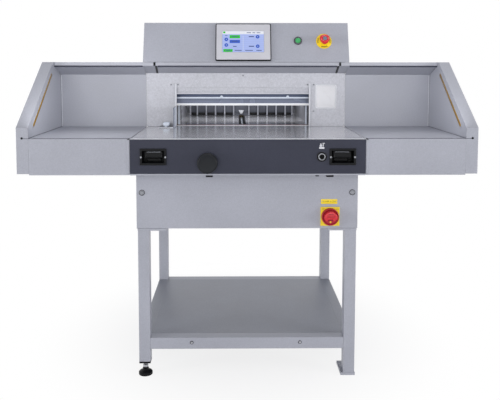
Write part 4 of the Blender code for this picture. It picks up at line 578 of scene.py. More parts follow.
startButton = {"x": 0.199, "v": 0.087, "capRadius": 0.0106}
place = onHead(startButton["x"], 0.0, startButton["v"])
r = startButton["capRadius"]
cast(turned([(0, 0.0046), (r * 0.55, 0.0048), (r * 0.8, 0.0054), (r * 0.93, 0.0052), (r, 0.004),
             (r, -0.006), (0, -0.006)]), place)
makePiece("startButtonCap", "green_plastic", greenAcrylic, replaced="start_button", body="start_button")
cast(turned([(0.0112, 0.0043), (0.0125, 0.0052), (0.0146, 0.005), (0.0155, 0.0043), (0.0157, 0.0003),
             (0.0162, 0.0003), (0.0162, 0.0001), (0.0112, 0.0001), (0.0112, 0.0043)], 40), place)
makePiece("startButtonRing", "bare_steel", blackSteel)


# emergency stop: twist-release mushroom with three finger lobes, over a yellow disc

stopButton = {
    "x": 0.299, "v": 0.085,
    "radius": 0.0202, "back": 0.0186, "front": 0.0346,
    # shares of the radius and of the way from back to front
    "profile": ((0, 0), (0.8, 0), (0.95, 0.12), (1, 0.35), (0.97, 0.62), (0.86, 0.86), (0.66, 1)),
    "lobes": 3, "lobeDepth": 0.13, "lobeTurn": 30,
    "discOut": 0.0024,
    "dish": 0.0022,            # depth of the insert in the head
    "arrowRadius": 0.0125,
    "arrowSweep": 0.75,        # radians
    "arrowLine": 0.0011,
    "dashRadius": 0.0236,      # dark ring of dashes printed on the disc
    "dashSweep": 0.1,
    "dashLine": 0.005,
    "dashes": (156, 168, 180, 192, 246, 256, 266, 276, 286, 296, 348, 0, 12),
}
s = stopButton
r, back, front = s["radius"], s["back"], s["front"]
place = onHead(s["x"], 0.0, s["v"])
profile = [(r * across, back + (front - back) * up) for across, up in s["profile"]]
dish = front - s["dish"]
cast(turned(profile + [(r * 0.46, front - 0.0008), (r * 0.4, dish), (0, dish)], 48, s["lobes"],
            s["lobeDepth"]), place @ spun(s["lobeTurn"]))
makePiece("stopMushroom", "red_plastic", redAbs, replaced="estop_head", body="estop_head")
cast(turned([(0, dish), (r * 0.38, dish), (r * 0.37, front - 0.0008), (r * 0.3, front - 0.0003),
             (0, front - 0.0003)], 28), place)
makePiece("stopInsert", "red_plastic", slateInsert, body="estop_head")
for degrees in (90, 210, 330):
    angle = radians(degrees)
    start, end = polar(s["arrowRadius"], angle), polar(s["arrowRadius"], angle + s["arrowSweep"])
    knee = (start + end) / 2 * 1.04
    tip = end + polar(0.002, angle + s["arrowSweep"] + pi / 2)
    for line in ((start, knee), (knee, tip)):
        cast(strip(*line, s["arrowLine"], 0.0004), onHead(s["x"], front - 0.0006, s["v"]))
makePiece("stopArrows", "red_plastic", inkWhite, body="estop_head")
for degrees in s["dashes"]:
    angle = radians(degrees)
    cast(strip(polar(s["dashRadius"], angle), polar(s["dashRadius"], angle + s["dashSweep"]), s["dashLine"],
               film), onHead(s["x"], s["discOut"], s["v"]))
makePiece("stopDiscMarks", "yellow_plastic", inkBlack)
cast(turned([(0.0285, 0.0021), (0.029, 0.0028), (0.0298, 0.0026), (0.0301, 0.0014), (0.0301, 0.0004),
             (0.0285, 0.0004), (0.0285, 0.0021)], 48), place)
makePiece("stopDiscRim", "yellow_plastic", yellowEnamel)
print("head controls made")


# face sheet: folded edges beside the slot painted pale as highlights, guard band over it with a pale hem
# painted as its highlight, screws and a blank plate

face = {
    "front": -0.088,
    "slot": (-0.278, 0.254),
    "tableTop": 0.8763,
    "cheekTop": 1.047,
    "cheekWidth": 0.0075,
    "cheekOut": 0.0042,
    "cheekFold": 0.0018,
    "guardY": (-0.0855, -0.08),
    "guardZ": (1.0055, 1.0345),
    "hemY": (-0.088, -0.081),
    "hemZ": (1.0047, 1.0097),
    "screws": ((-0.0112, 1.0785), (-0.2966, 1.0424), (-0.2689, 1.0424), (0.2697, 1.0424),
               (0.245, 1.0424), (0.2697, 0.9363)),
    "screw": (0.0033, 0.0019),                     # radius and height
    "plate": (0.319, 0.995, 0.082, 0.093),         # middle x and z, width, height
    "plateThick": 0.0008,
    "plateFrame": (0.003, 0.004),                  # where the printed frame starts and ends, from the edge
}
f = face
left, right = f["slot"]
for x in f["slot"]:
    low = x - f["cheekWidth"] / 2
    cast(block((low, f["front"] - f["cheekOut"], f["tableTop"]),
               (low + f["cheekWidth"], f["front"] - hair, f["cheekTop"]), f["cheekFold"]))
makePiece("slotFoldHighlights", "pale_paint", powderPale)
for name, y, z, gap, edge, finish in (("slotGuard", f["guardY"], f["guardZ"], 0.001, 0.0008, texturedFace),
                                      ("slotGuardHem", f["hemY"], f["hemZ"], 0.0015, 0.0016, powderPale)):
    cast(block((left + gap, y[0], z[0]), (right - gap, y[1], z[1]), edge))
    makePiece(name, "pale_paint", finish)
for x, z in f["screws"]:
    cast(screwHead(*f["screw"]), facing(x, f["front"] - hair, z))
makePiece("faceScrews", "bare_steel", dullSteel)
x, z, width, height = f["plate"]
y = f["front"] - f["plateThick"] - hair
cast(plate(width, height, f["plateThick"], 0.006, 0.0002), facing(x, f["front"] - hair, z))
outer, inner = 2 * f["plateFrame"][0], 2 * f["plateFrame"][1]
cast(plate(width - outer, height - outer, film, 0.004), facing(x, y, z), 1)
cast(plate(width - inner, height - inner, film, 0.003), facing(x, y - film, z))
makePiece("blankPlate", "pale_paint", whiteFilm, inkGrey)

# plain painted skin over the soffit and lip of the face sheet, with the dark gaps at its ends
soffit = {
    "path": ((-0.0884, 1.0884), (-0.1802, 1.117), (-0.1802, 1.1306)),
    "half": 0.3964,
    "skin": 0.0003,
    "gaps": ((-1, -0.347), (1, 0.3555)),      # side and middle x
    "gapWidth": 0.008,
    "gapLean": 0.06,
    "lipGap": (0.003, -0.1804, 1.1238),       # further out, y and z
}
o = soffit
cast(foldedSheet([(-o["half"], y, z) for y, z in o["path"]], (2 * o["half"], 0, 0), (0, -1, 0), -o["skin"]))
makePiece("soffitSkin", "grey_paint", powderSoffit)
low, high = Vector((0, *o["path"][0])), Vector((0, *o["path"][1]))
for side, x in o["gaps"]:
    shear = Matrix.Identity(4)
    shear[0][1] = -side * o["gapLean"]
    place = Matrix.Translation((low + high) / 2 + Vector((x, 0, -0.0004)))
    cast(bar((o["gapWidth"], (high - low).length, 0.0012)),
         place @ Matrix.Rotation(atan2(high.z - low.z, high.y - low.y), 4, "X") @ shear)
    out, y, z = o["lipGap"]
    cast(plate(o["gapWidth"], 0.013, 0.001, 0.0004), facing(x + side * out, y, z))
makePiece("soffitGaps", "black_plastic", blackAbs)
print("face made")


# bright details in and round the slot

# on the knife carrier a dark band painted as the shadow under the guard and a pale clamping strip; on the
# blade a white strip painted as the highlight on its honed edge
bladeTrim = {
    "carrierFront": -0.0703,
    "guardShadowSpan": (0.9928, 1.03),
    "strip": (0.9863, 0.9925),
    "reach": (-0.277, 0.253),
    "out": 0.0006,
    "studs": (-0.097, 0.168), "studZ": 0.9935,
    "bevelFoot": (-0.0361, 0.965),      # where the honed facet starts, y and z
    "edgeFoot": (-0.0301, 0.9564),      # the cutting edge itself
    "facet": 0.0005,
    "inset": 0.001,
}
b = bladeTrim
for name, span, out, finish, studs in (("carrierGuardShadow", b["guardShadowSpan"], b["out"], bluedSteelAndShade, ()),
                                       ("carrierStrip", b["strip"], 2 * b["out"], zincEdgePaintedGlow, b["studs"])):
    cast(block((b["reach"][0], b["carrierFront"] - out, span[0]),
               (b["reach"][1], b["carrierFront"] - hair, span[1]), 0.0002))
    for x in studs:
        cast(stud(0.0052, 0.0022, 0.0042, 0.0016, 0.0004), facing(x, b["carrierFront"] - out, b["studZ"]))
    makePiece(name, "dark_steel", finish, body="knife")
bladeLow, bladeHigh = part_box("knife_blade")
# painted highlight: a thin white strip laid along the honed facet of the blade
high, foot = Vector(b["bevelFoot"]), Vector(b["edgeFoot"])
outward = Vector((foot.y - high.y, high.x - foot.x)).normalized() * b["facet"]
side = bm.faces.new([bm.verts.new((bladeLow.x + b["inset"], c.x, c.y))
                     for c in (high, foot, foot + outward, high + outward)])
push(bm, bmesh.ops.extrude_face_region(bm, geom=[side])["geom"],
     (bladeHigh.x - bladeLow.x - 2 * b["inset"], 0, 0))
bmesh.ops.recalc_face_normals(bm, faces=bm.faces)
makePiece("bladeEdgeHighlight", "polished_steel", paintedHighlightWhite, body="knife")

# fins of the backgauge, paler than the dark comb as painted light on the fins and painted shade between them;
# black strips between their feet painted as the shadow under the gauge; and the nose over the lead screw
combLow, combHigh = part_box("backgauge_comb")
gauge = {
    "finPlaces": (-50.7, -43.9, -34.9, -25.8, -16.6, -7.6, 7.6, 16.6, 25.8, 34.9, 43.9, 50.7),
    "finStep": 0.00486,        # metres for each unit above
    "centre": -0.012,
    "finWidth": 0.0062,
    "finOut": 0.0012,
    "footHeight": 0.012,
    "footGap": 0.001,
    "nose": (0.026, 0.018, 0.006),
    "noseTaper": 0.36,
    "nosePlace": (0.0032, 0.015),     # in front of the comb and above its foot
}
g = gauge
half = g["finWidth"] / 2
fins = [g["centre"] + unit * g["finStep"] for unit in g["finPlaces"]]
for x in fins:
    cast(block((x - half, combLow.y - g["finOut"], combLow.z + 0.0002),
               (x + half, combLow.y - hair, combHigh.z - 0.001), 0.0004))
makePiece("gaugeFins", "aluminium", powderGrey, body="backgauge")
for left, right in zip(fins, fins[1:]):
    if left < g["centre"] < right:
        continue
    cast(block((left + half + g["footGap"], combLow.y - 0.0006, combLow.z + 0.0003),
               (right - half - g["footGap"], combLow.y - hair, combLow.z + g["footHeight"]), 0.0002))
makePiece("gaugeFootShadow", "black_plastic", blackAbs, body="backgauge")
nose = bar(g["nose"])
bmesh.ops.scale(nose, verts=[v for v in nose.verts if v.co.y < 0], vec=(g["noseTaper"], 1, 1))
rounded(nose, nose.edges[:], 0.001)
cast(nose, facing(g["centre"], combLow.y - g["nosePlace"][0], combLow.z + g["nosePlace"][1]))
makePiece("gaugeNose", "aluminium", powderPale, body="backgauge")

# pale ground strip in front of the cutting stick, white with a painted glow as a highlight; black strips
# painted as shade along the slot of the lead screw
screwLow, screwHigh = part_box("lead_screw")
screwMiddle = (screwLow + screwHigh) / 2
tableLines = {
    "pale": ((-0.2765, -0.0655), (0.2525, -0.0415)),
    "black": ((0.0102, 0.009), (0.0146, 0.45)),     # out from the lead screw, and y
    "foot": 0.87605,
    "top": (0.87635, 0.8764),
}
o = tableLines
(x0, y0), (x1, y1) = o["pale"]
cast(block((x0, y0, o["foot"]), (x1, y1, o["top"][0]), 0.0001))
(x0, y0), (x1, y1) = o["black"]
for side, label in sides:
    cast(block((screwMiddle.x + side * x0, y0, o["foot"]), (screwMiddle.x + side * x1, y1, o["top"][1]),
               0.0001), material=1)
makePiece("tableStrips", "polished_steel", paintedHighlightWhite, blackAbs)


# a pale strip painted as the highlight along the polished front edge of the table, flanges of the side tables
# and the lip below

tableFront = {
    "halfWidth": 0.394,
    "lipY": (-0.5055, -0.502), "lipZ": (0.7524, 0.7578),
    "edgeY": (-0.5042, -0.5018), "edgeZ": (0.8735, 0.8764),
    "flangeX": (0.3952, 0.4038), "flangeZ": (0.7575, 0.875),
    "flangeOut": 0.0013,
    "bodyFront": -0.5017,
    "cornerStop": (0.3985, 0.8743), "cornerLean": 35,      # x and z, degrees
    "stopSize": (0.0085, 0.003, 0.0016),
    "wallHole": (0.7527, 0.877),
    "clips": ((-0.1419, -0.1182, 0.0065), (0.2272, 0.2384, 0.0042), (0.2635, 0.2879, 0.0065)),
    "clipY": (-0.4995, -0.48),
    "clipTop": 0.7518,
}
f = tableFront
for name, y, z, edge, slotName, finish in (
        ("frontLip", f["lipY"], f["lipZ"], 0.0016, "grey_paint", powderGrey),
        ("tableFrontHighlight", f["edgeY"], f["edgeZ"], 0.001, "polished_steel", powderPale)):
    cast(block((-f["halfWidth"], y[0], z[0]), (f["halfWidth"], y[1], z[1]), edge, 3))
    makePiece(name, slotName, finish)
for side, label in sides:
    (x0, x1), (z0, z1) = f["flangeX"], f["flangeZ"]
    cast(block((side * x0, f["bodyFront"] - f["flangeOut"], z0), (side * x1, f["bodyFront"] - hair, z1),
               0.001, 3))
    makePiece("tableFlange_" + label, "grey_paint", powderGrey)
    # rubber corner stop where the table sheets meet
    x, z = f["cornerStop"]
    cast(plate(*f["stopSize"], 0.0012, 0.0004),
         facing(side * x, f["bodyFront"] - f["flangeOut"], z) @ spun(-side * f["cornerLean"]))
    makePiece("cornerStop_" + label, "black_plastic", blackAbs)
    # open end of the fold: a black disc painted as the shade in the hole, with a pressed rim
    x, z = f["wallHole"]
    cast(turned([(0, 0.0004), (0.0026, 0.0004), (0.003, 0.001), (0.0036, 0.0008), (0.0038, 0), (0, 0)],
                20), facing(side * x, f["bodyFront"] - hair, z))
    makePiece("wallHoleShade_" + label, "black_plastic", blackAbs)
# cable clips under the lip
for left, right, drop in f["clips"]:
    cast(block((left, f["clipY"][0], f["clipTop"] - drop), (right, f["clipY"][1], f["clipTop"]), 0.0012))
makePiece("lipClips", "black_plastic", blackAbs)
print("table front made")


# amber windows of the light curtain, along the slanted edge of each end wall

lightWindow = {"low": (-0.448, 0.912), "high": (-0.2144, 1.0862), "width": 0.013, "out": 0.0012,
               "frame": 0.0022, "wall": 0.7315}
w = lightWindow
low, high = Vector(w["low"]), Vector(w["high"])
run, middle = high - low, (low + high) / 2
for side, label in sides:
    # local X runs along the edge, local Z points into the room of the table
    inward = Vector((-side, 0, 0))
    along = Vector((0, *run)).normalized()
    place = Matrix((along, inward.cross(along), inward)).transposed().to_4x4()
    place.translation = (side * (w["wall"] - hair), *middle)
    cast(plate(run.length + 0.012, w["width"] + 2 * w["frame"], w["out"], 0.006, 0.0003), place)
    cast(plate(run.length, w["width"], 0.0004, 0.0045, 0.0001, w["out"]), place, 1)
    makePiece("lightWindow_" + label, "yellow_plastic", powderGrey, amberAcrylic)


# two-hand switches: screws of the housings, paddles and a finger scoop below them

switch = {
    "x": 0.3165,
    "rimFront": -0.5093,
    "screwX": 0.0405, "screwZ": 0.814, "screw": (0.0034, 0.0014),
    "pocketBack": -0.4633,
    "scoop": (0.05, 0.0105, 0.02), "scoopZ": 0.8012,
    "paddle": (0.06, 0.022, 0.018), "paddleZ": 0.821, "paddleFront": -0.497,
    "stem": (0.0058, 0.0155), "stemBack": 0.0335,       # radius and length; how far behind the paddle's front
    "paddleHighlight": (0.048, 0.0093),      # width of the pale strip painted as the highlight on the upper edge, and its height over the middle
}
s = switch
for side, label in sides:
    x = side * s["x"]
    for end in (-1, 1):
        cast(screwHead(*s["screw"]), facing(x + end * s["screwX"], s["rimFront"] - hair, s["screwZ"]))
    makePiece("switchScrews_" + label, "bare_steel", dullSteel)
    # finger scoop: a hollow ledge below the paddle
    cast(sink(plate(*s["scoop"], 0.003, 0.001), 0.0012, 0.006, 0.9), facing(x, s["pocketBack"], s["scoopZ"]))
    makePiece("switchScoop_" + label, "black_plastic", blackAbs)
    # paddle with a thumb hollow, a stem behind it and a pale strip painted as the highlight on its upper edge
    front, z = s["paddleFront"], s["paddleZ"]
    cast(sink(plate(*s["paddle"], 0.003, 0.0012), 0.0015, 0.0016, 0.92), facing(x, front + s["paddle"][2], z))
    cast(disc(*s["stem"]), facing(x, front + s["stemBack"], z))
    width, up = s["paddleHighlight"]
    cast(plate(width, 0.0012, 0.0004, 0.0004), facing(x, front - hair, z + up), 1)
    makePiece("cutPaddle_" + label, "black_plastic", blackAbs, inkGrey, replaced="cut_button_" + label,
              body="cut_button_" + label)


# hand wheel: soft-touch knob with a crowned face and shallow finger grips

wheel = {
    "x": -0.135, "z": 0.797, "radius": 0.0343, "back": -0.5053, "out": 0.0397, "grips": 20, "gripDepth": 0.012,
    # shares of the radius and of out
    "profile": ((0, 0), (0.7, 0), (0.74, 0.2), (0.96, 0.3), (1, 0.42), (1, 0.78), (0.975, 0.9),
                (0.9, 0.975), (0.82, 1), (0.78, 0.985), (0.4, 0.975), (0, 0.97)),
}
h = wheel
r, out = h["radius"], h["out"]
cast(turned([(r * across, out * up) for across, up in h["profile"]], 60, h["grips"], h["gripDepth"]),
     facing(h["x"], h["back"], h["z"]))
makePiece("handKnob", "black_plastic", gripAbs, replaced="hand_wheel", body="hand_wheel")


# adjusting socket: plated liner in its bezel, and above it a plain sign of a figure at a machine

socket = {
    "x": 0.2465, "z": 0.815, "bore": 0.0088,
    "sign": (-0.5051, 0.8533), "signThick": 0.00025,       # y and z
    "signBars": ((-0.0005, -0.0085, 0.0175, 0.006, 0.0006), (-0.0035, -0.0015, 0.0085, 0.0062, 0.0008),
                 (0.0042, 0.001, 0.003, 0.01, 0.0008), (0.006, 0.007, 0.008, 0.0026, 0.0008)),
    "signHead": (-0.0035, 0.0042, 0.0026),
}
k = socket
r = k["bore"]
cast(turned([(r, 0.0), (r, 0.0008), (0.0098, 0.0016), (0.0112, 0.0014), (0.012, 0.0006), (0.0122, 0.0),
             (r, 0.0)]), facing(k["x"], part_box("socket_bezel")[0].y - hair, k["z"]))
makePiece("socketLiner", "dark_steel", dullSteel)
y, z = k["sign"]
for dx, dz, width, height, corner in k["signBars"]:
    cast(plate(width, height, k["signThick"], corner), facing(k["x"] + dx, y, z + dz))
dx, dz, radius = k["signHead"]
cast(disc(radius, k["signThick"]), facing(k["x"] + dx, y, z + dz))
makePiece("crankSign", "dark_paint", inkWhite)
print("front controls made")


# lower housing: screws, plain yellow strip, and the marks of the main switch

housing = {
    "front": -0.385,
    "screws": ((-0.373, 0.67), (0.373, 0.67)), "screwRadius": 0.0085,
    "strip": (0.291, 0.637, 0.058, 0.017),     # middle x and z, width, height
    "stripThick": 0.001,
    "stripWords": "0 OFF  I ON", "wordSize": 0.0088,
    "washer": (0.0106, 0.0088, 0.0008),
}
mainSwitch = {
    "x": 0.294, "z": 0.584, "plateFront": -0.3893,
    "marks": (("0", 0.0, 0.0272, 0.007), ("I", 0.028, -0.0275, 0.007), ("OFF", -0.0245, 0.0268, 0.0052),
              ("ON", 0.0262, 0.0268, 0.0052)),
}
o, m = housing, mainSwitch
r = o["screwRadius"]
for x, z in o["screws"]:
    cast(turned([(0, 0.0022), (0.004, 0.0022), (0.0044, 0.0044), (0.0056, 0.0048), (0.0066, 0.004),
                 (0.0068, 0.0012), (r, 0.001), (r, 0), (0, 0)], 28), facing(x, o["front"] - hair, z))
makePiece("housingScrews", "bare_steel", dullSteel)
for x, z in o["screws"]:
    cast(ring(*o["washer"], 0.0003, 28), facing(x, o["front"] - hair, z))
makePiece("housingWashers", "black_plastic", blackAbs)
x, z, width, height = o["strip"]
cast(plate(width, height, o["stripThick"], 0.0025, 0.0002), facing(x, o["front"] - hair, z))
for end in (-1, 1):
    cast(screwHead(0.0014, 0.0007, 12),
         facing(x + end * (width / 2 - 0.004), o["front"] - o["stripThick"], z), 1)
makePiece("yellowStrip", "yellow_plastic", yellowEnamel, turnedSteel)
for text, dx, dz, size in m["marks"]:
    cast(wordMesh(text, size), facing(m["x"] + dx, m["plateFront"] - hair, m["z"] + dz))
makePiece("switchMarks", "yellow_plastic", inkBlack)
print("housing made")


# stand: screws in the rails of the shelf

railScrews = {"places": ((-0.1995, 0.1229), (0.1905, 0.1229)), "radius": 0.0042, "height": 0.0026}
r = railScrews["radius"]
for label, turn in (("front", 0), ("rear", 180)):
    railLow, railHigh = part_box("shelf_rail_" + label)
    for x, z in railScrews["places"]:
        place = facing(x, railHigh.y + hair if turn else railLow.y - hair, z, turn)
        if not turn:
            cast(ring(r + 0.0022, r + 0.0002, 0.0008, 0.0003, 24), place, 1)
        cast(screwHead(r, railScrews["height"]), place)
    finish = (turnedSteel,) if turn else (turnedSteel, powderCharcoal)
    makePiece("railScrews" + label.title(), "bare_steel", *finish)

# folds and seams of the side tables: a dark strip painted as the shade under each lip, seams over the apron
# and along the foot of the end walls, and pale strips painted as highlights on the corner returns
seams = {
    "lip": ((-0.181, 1.1122), (-0.1795, 1.118)),     # y and z
    "spans": ((-0.73, -0.395), (-0.338, 0.347), (0.395, 0.73)),
    "apron": ((0.396, -0.5021, 0.8752), (0.749, -0.5018, 0.8764)),
    "wallFoot": ((0.7303, -0.499, 0.8763), (0.7311, -0.09, 0.8772)),
    "corner": ((0.727, -0.089, 0.8768), (0.73, -0.0884, 1.079)),
}
s = seams


def bothSides(first, second, edge=0.0):
    for side, label in sides:
        cast(block((side * first[0], *first[1:]), (side * second[0], *second[1:]), edge))


for start, end in s["spans"]:
    cast(block((start, *s["lip"][0]), (end, *s["lip"][1])))
bothSides(*s["apron"])
bothSides(*s["wallFoot"])
makePiece("lipShadeAndSeams", "dark_paint", powderCharcoal)
bothSides(*s["corner"], 0.0003)
makePiece("cornerHighlights", "pale_paint", powderPale)

# folded side trays of the shelf beside its panel, from the front legs to the rear ones
tray = {"inner": 0.3484, "outer": 0.3882, "front": -0.3446, "back": 0.2336, "top": 0.1417, "foot": 0.1058,
        "sheet": 0.0015}
t = tray
for side, label in sides:
    path = ((t["inner"], t["foot"]), (t["inner"], t["top"]), (t["outer"], t["top"]), (t["outer"], t["foot"]))
    cast(foldedSheet([(side * x, t["front"], z) for x, z in path], (0, t["back"] - t["front"], 0), (0, 0, 1),
                     t["sheet"]))
    makePiece("shelfTray_" + label, "shelf_paint", powderShelf)

# feet: end bands of the left legs, lock nuts and screw threads on the levelling stems
foot = {"x": -0.3685, "places": (("front", -0.365), ("rear", 0.254)), "band": (0.0404, 0.0404, 0.0065),
        "bandZ": 0.0496, "bandSheet": 0.0006, "stem": 0.006, "thread": (0.0225, 0.0445), "pitch": 0.0022,
        "crest": 0.0007, "nutRadius": 0.0098, "nutZ": (0.028, 0.0345)}
o = foot
for label, y in o["places"]:
    band = bar(o["band"])
    bmesh.ops.delete(band, geom=[f for f in band.faces if abs(f.normal.z) > 0.9], context="FACES_ONLY")
    bmesh.ops.solidify(band, geom=band.faces[:], thickness=o["bandSheet"])
    cast(band, Matrix.Translation((o["x"], y, o["bandZ"])))
makePiece("legCaps", "black_plastic", blackAbs)
low, high = o["nutZ"]
for label, y in o["places"]:
    place = Matrix.Translation((o["x"], y, 0))
    cast(threaded(*o["thread"], o["stem"], o["pitch"], o["crest"]), place)
    cast(turned([(0.0062, low), (o["nutRadius"], low), (o["nutRadius"], high), (0.0062, high),
                 (0.0062, low)], 6), place)
    makePiece("stemThread_" + label, "dark_steel", turnedSteel, smoothAngle=20, body="foot_" + label)
print("stand made")


# main switch: round red knob with its broad grip, and the yellow pointer

grip = {
    "back": -0.3895,
    "rim": 0.031, "dome": 0.0245, "low": 0.012, "high": 0.0285,
    "cutHeight": -0.0055,      # where the raised half starts, from the knob's middle
    "edge": 0.004,
    "studs": (200, 340),       # degrees round the knob
    "studRadius": 0.0145, "studDrop": 0.004,
    # a dark bar painted as the shade under the cut edge of the grip
    "slot": (0.04, 0.005, 0.001), "shadeDrop": 0.0025,
    "lines": ((0.0145, 0.02), (0.0085, 0.03), (0.0025, 0.03)),      # height and length
    "pointerDrop": 0.0165,
}
o, x, z = grip, m["x"], m["z"]
ledge = o["back"] - o["low"]
cast(turned([(0, 0), (o["rim"], 0), (o["rim"], 0.0092), (0.0296, 0.0112), (0.0276, 0.0112), (0.0256, 0.008),
             (o["dome"], 0.008), (o["dome"] - 0.001, o["low"]), (0.02, o["low"] + 0.0014),
             (0, o["low"] + 0.0018)], 48), facing(x, o["back"], z), 1)
part = bmesh.new()
bmesh.ops.create_circle(part, cap_ends=True, segments=40, radius=o["dome"] - 0.0014)
bmesh.ops.bisect_plane(part, geom=part.verts[:] + part.edges[:] + part.faces[:], dist=1e-6,
                       plane_co=(0, o["cutHeight"], 0), plane_no=(0, 1, 0), clear_inner=True)
push(part, bmesh.ops.extrude_face_region(part, geom=part.faces[:])["geom"], (0, 0, o["high"] - o["low"]))
bmesh.ops.recalc_face_normals(part, faces=part.faces)
rounded(part, [e for e in part.edges if all(v.co.z > 0.001 for v in e.verts)], o["edge"], 4)
cast(part, facing(x, ledge, z))
for degrees in o["studs"]:
    place = polar(o["studRadius"], radians(degrees))
    cast(stud(0.0048, 0.0018, 0.004, 0.0008), facing(x + place.x, ledge - 0.0012, z + place.y - o["studDrop"]))
makePiece("switchKnob", "red_plastic", redAbs, redRim, replaced="main_switch_knob", body="main_switch")
# painted shade: a dark bar below the grip's cut edge, and printed lines above it
cast(plate(*o["slot"], 0.0022, 0.0003), facing(x, ledge - 0.0013, z + o["cutHeight"] - o["shadeDrop"]))
for up, width in o["lines"]:
    cast(plate(width, 0.0011, 0.0002, 0.0004), facing(x, o["back"] - o["high"], z + up))
makePiece("switchGripShade", "red_plastic", blackAbs, body="main_switch")
cast(stud(0.003, 0.0016, 0.0024, 0.0008), facing(x, ledge - 0.0014, z - o["pointerDrop"]))
makePiece("switchPointer", "yellow_plastic", yellowEnamel, body="main_switch")
x, z, width, height = housing["strip"]
cast(wordMesh(housing["stripWords"], housing["wordSize"]),
     facing(x, housing["front"] - housing["stripThick"], z))
makePiece("stripWords", "yellow_plastic", inkBlack)
print("main switch made")


# lead screw thread, and black sheets painted as the shade inside its slot in the table

leadThread = {"span": (0.03, 0.5), "radius": 0.006, "pitch": 0.01, "crest": 0.0004}
o = leadThread
cast(threaded(*o["span"], o["radius"], o["pitch"], o["crest"], 24),
     Matrix.Translation((screwMiddle.x, 0, screwMiddle.z)) @ spun(-90, "X"))
makePiece("leadThread", "polished_steel", turnedSteel, body="lead_screw")
slotShadeSpan = {"near": (0.00975, 0.01, 0.8566), "far": (0.0099, 0.506, 0.8755)}      # out from the lead screw, y, z
for side, label in sides:
    (x0, *near), (x1, *far) = slotShadeSpan["near"], slotShadeSpan["far"]
    cast(block((screwMiddle.x + side * x0, *near), (screwMiddle.x + side * x1, *far)))
makePiece("slotShade", "black_plastic", blackAbs)

# bright strips painted as highlights along the edges of the paper guides and the side lay, and a blued strip
# painted as shade on the side lay's front
guideHighlightsAndShade = (
    ((-0.2777, 0.0061, 0.8768), (-0.27, 0.0065, 0.96), 0),
    ((0.246, 0.0061, 0.8768), (0.2537, 0.0065, 0.96), 0),
    ((-0.2779, -0.1575, 0.877), (-0.2775, -0.089, 0.9555), 0),
    ((-0.2812, -0.1584, 0.877), (-0.2782, -0.1581, 0.9555), 1),
    ((-0.2905, -0.0889, 0.879), (-0.287, -0.0885, 0.955), 2),
)
for low, high, material in guideHighlightsAndShade:
    cast(block(low, high), material=material)
makePiece("guideHighlightsAndShade", "bare_steel", zincEdgePaintedGlow, bluedSteelAndShade, powderPale)

# back: screws of the service panel and the hood, a blank rating plate and the pins of the mains inlet
rear = {"screwRadius": 0.0055, "screwInset": 0.018, "hoodRadius": 0.0042, "hoodInset": (0.03, 0.014),
        "hoodMiddle": (-0.11, 0.09), "pins": ((0, 0.0042), (-0.0075, -0.0025), (0.0075, -0.0025)),
        "pin": (0.0012, 0.0032), "plate": (0.2, 0.08, 0.045)}
o = rear
low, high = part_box("rear_service_panel")
inset = o["screwInset"]
for x in (low.x + inset, (low.x + high.x) / 2, high.x - inset):
    for z in (low.z + inset, high.z - inset):
        cast(screwHead(o["screwRadius"], 0.003), facing(x, high.y + hair, z, 180))
hoodLow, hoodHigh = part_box("rear_hood")
inset, fromFront = o["hoodInset"]
for x in (hoodLow.x + inset, *o["hoodMiddle"], hoodHigh.x - inset):
    cast(screwHead(o["hoodRadius"], 0.0024), Matrix.Translation((x, hoodLow.y + fromFront, hoodHigh.z + hair)))
makePiece("rearScrews", "bare_steel", dullSteel)
x, width, height = o["plate"]
cast(plate(width, height, 0.0006, 0.003, 0.0002), facing(x, high.y + hair, high.z - 0.045, 180))
makePiece("blankRatingPlate", "bare_steel", anodised)
low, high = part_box("mains_inlet")
middle = (low + high) / 2
for dx, dz in o["pins"]:
    x, z, (wide, tall) = middle.x + dx, middle.z + dz, o["pin"]
    cast(block((x - wide, low.y + 0.0031, z - tall), (x + wide, high.y - 0.006, z + tall), 0.0004))
makePiece("inletPins", "bare_steel", turnedSteel)
print("back made")


# studio: pale floor, soft lamps and the camera of the photograph

studio = {
    "worldLight": 0.26,            # even light from all round
    "worldTint": "F7F8FF",
    "floorRadius": 9.0,
    "floorTint": "EDEDF0",
    "floorGlow": 0.8,              # how much of the floor's white is its own
    "floorFade": (0.25, 0.9),      # metres from the middle where the floor turns fully white
}
lamps = (
    # name, power in watts, size, place, target
    ("key", 262.0, (8.0, 3.2), (-0.5, -8.5, 1.9), (0, -0.2, 0.8)),
    ("top", 20.0, (3.0, 2.4), (0.3, 0.2, 3.4), (0, 0, 0.8)),
    ("inside", 0.95, (0.5, 0.03), (-0.012, 0.15, 1.03), (-0.012, 0.36, 0.87)),      # under the rear hood
    ("left", 80.0, (1.6, 1.6), (-4.2, -1.9, 1.25), (0.5, 0, 0.95)),
    ("right", 80.0, (1.6, 1.6), (4.2, -1.9, 1.25), (-0.5, 0, 0.95)),
    ("back", 230.0, (6.0, 3.0), (0.8, 7.0, 2.4), (0, 0, 0.8)),
    ("bayLeft", 0.45, (0.34, 0.2), (-0.56, -0.49, 1.02), (-0.57, 0, 0.97)),
    ("bayRight", 0.32, (0.34, 0.2), (0.56, -0.49, 1.02), (0.57, 0, 0.97)),
)
unmirrored = ("back", "bayLeft", "bayRight")       # lamps that no surface mirrors


def seenRays(tree):
    # 1 for what the camera sees straight, in a mirror or through glass, else 0
    rays = addNode(tree, "LightPath").outputs
    seen = addNode(tree, "Math", {0: rays["Is Camera Ray"], 1: rays["Is Glossy Ray"]}, operation="MAXIMUM")
    seen = addNode(tree, "Math", {0: seen.outputs[0], 1: rays["Is Transmission Ray"]}, operation="MAXIMUM")
    return seen.outputs[0]


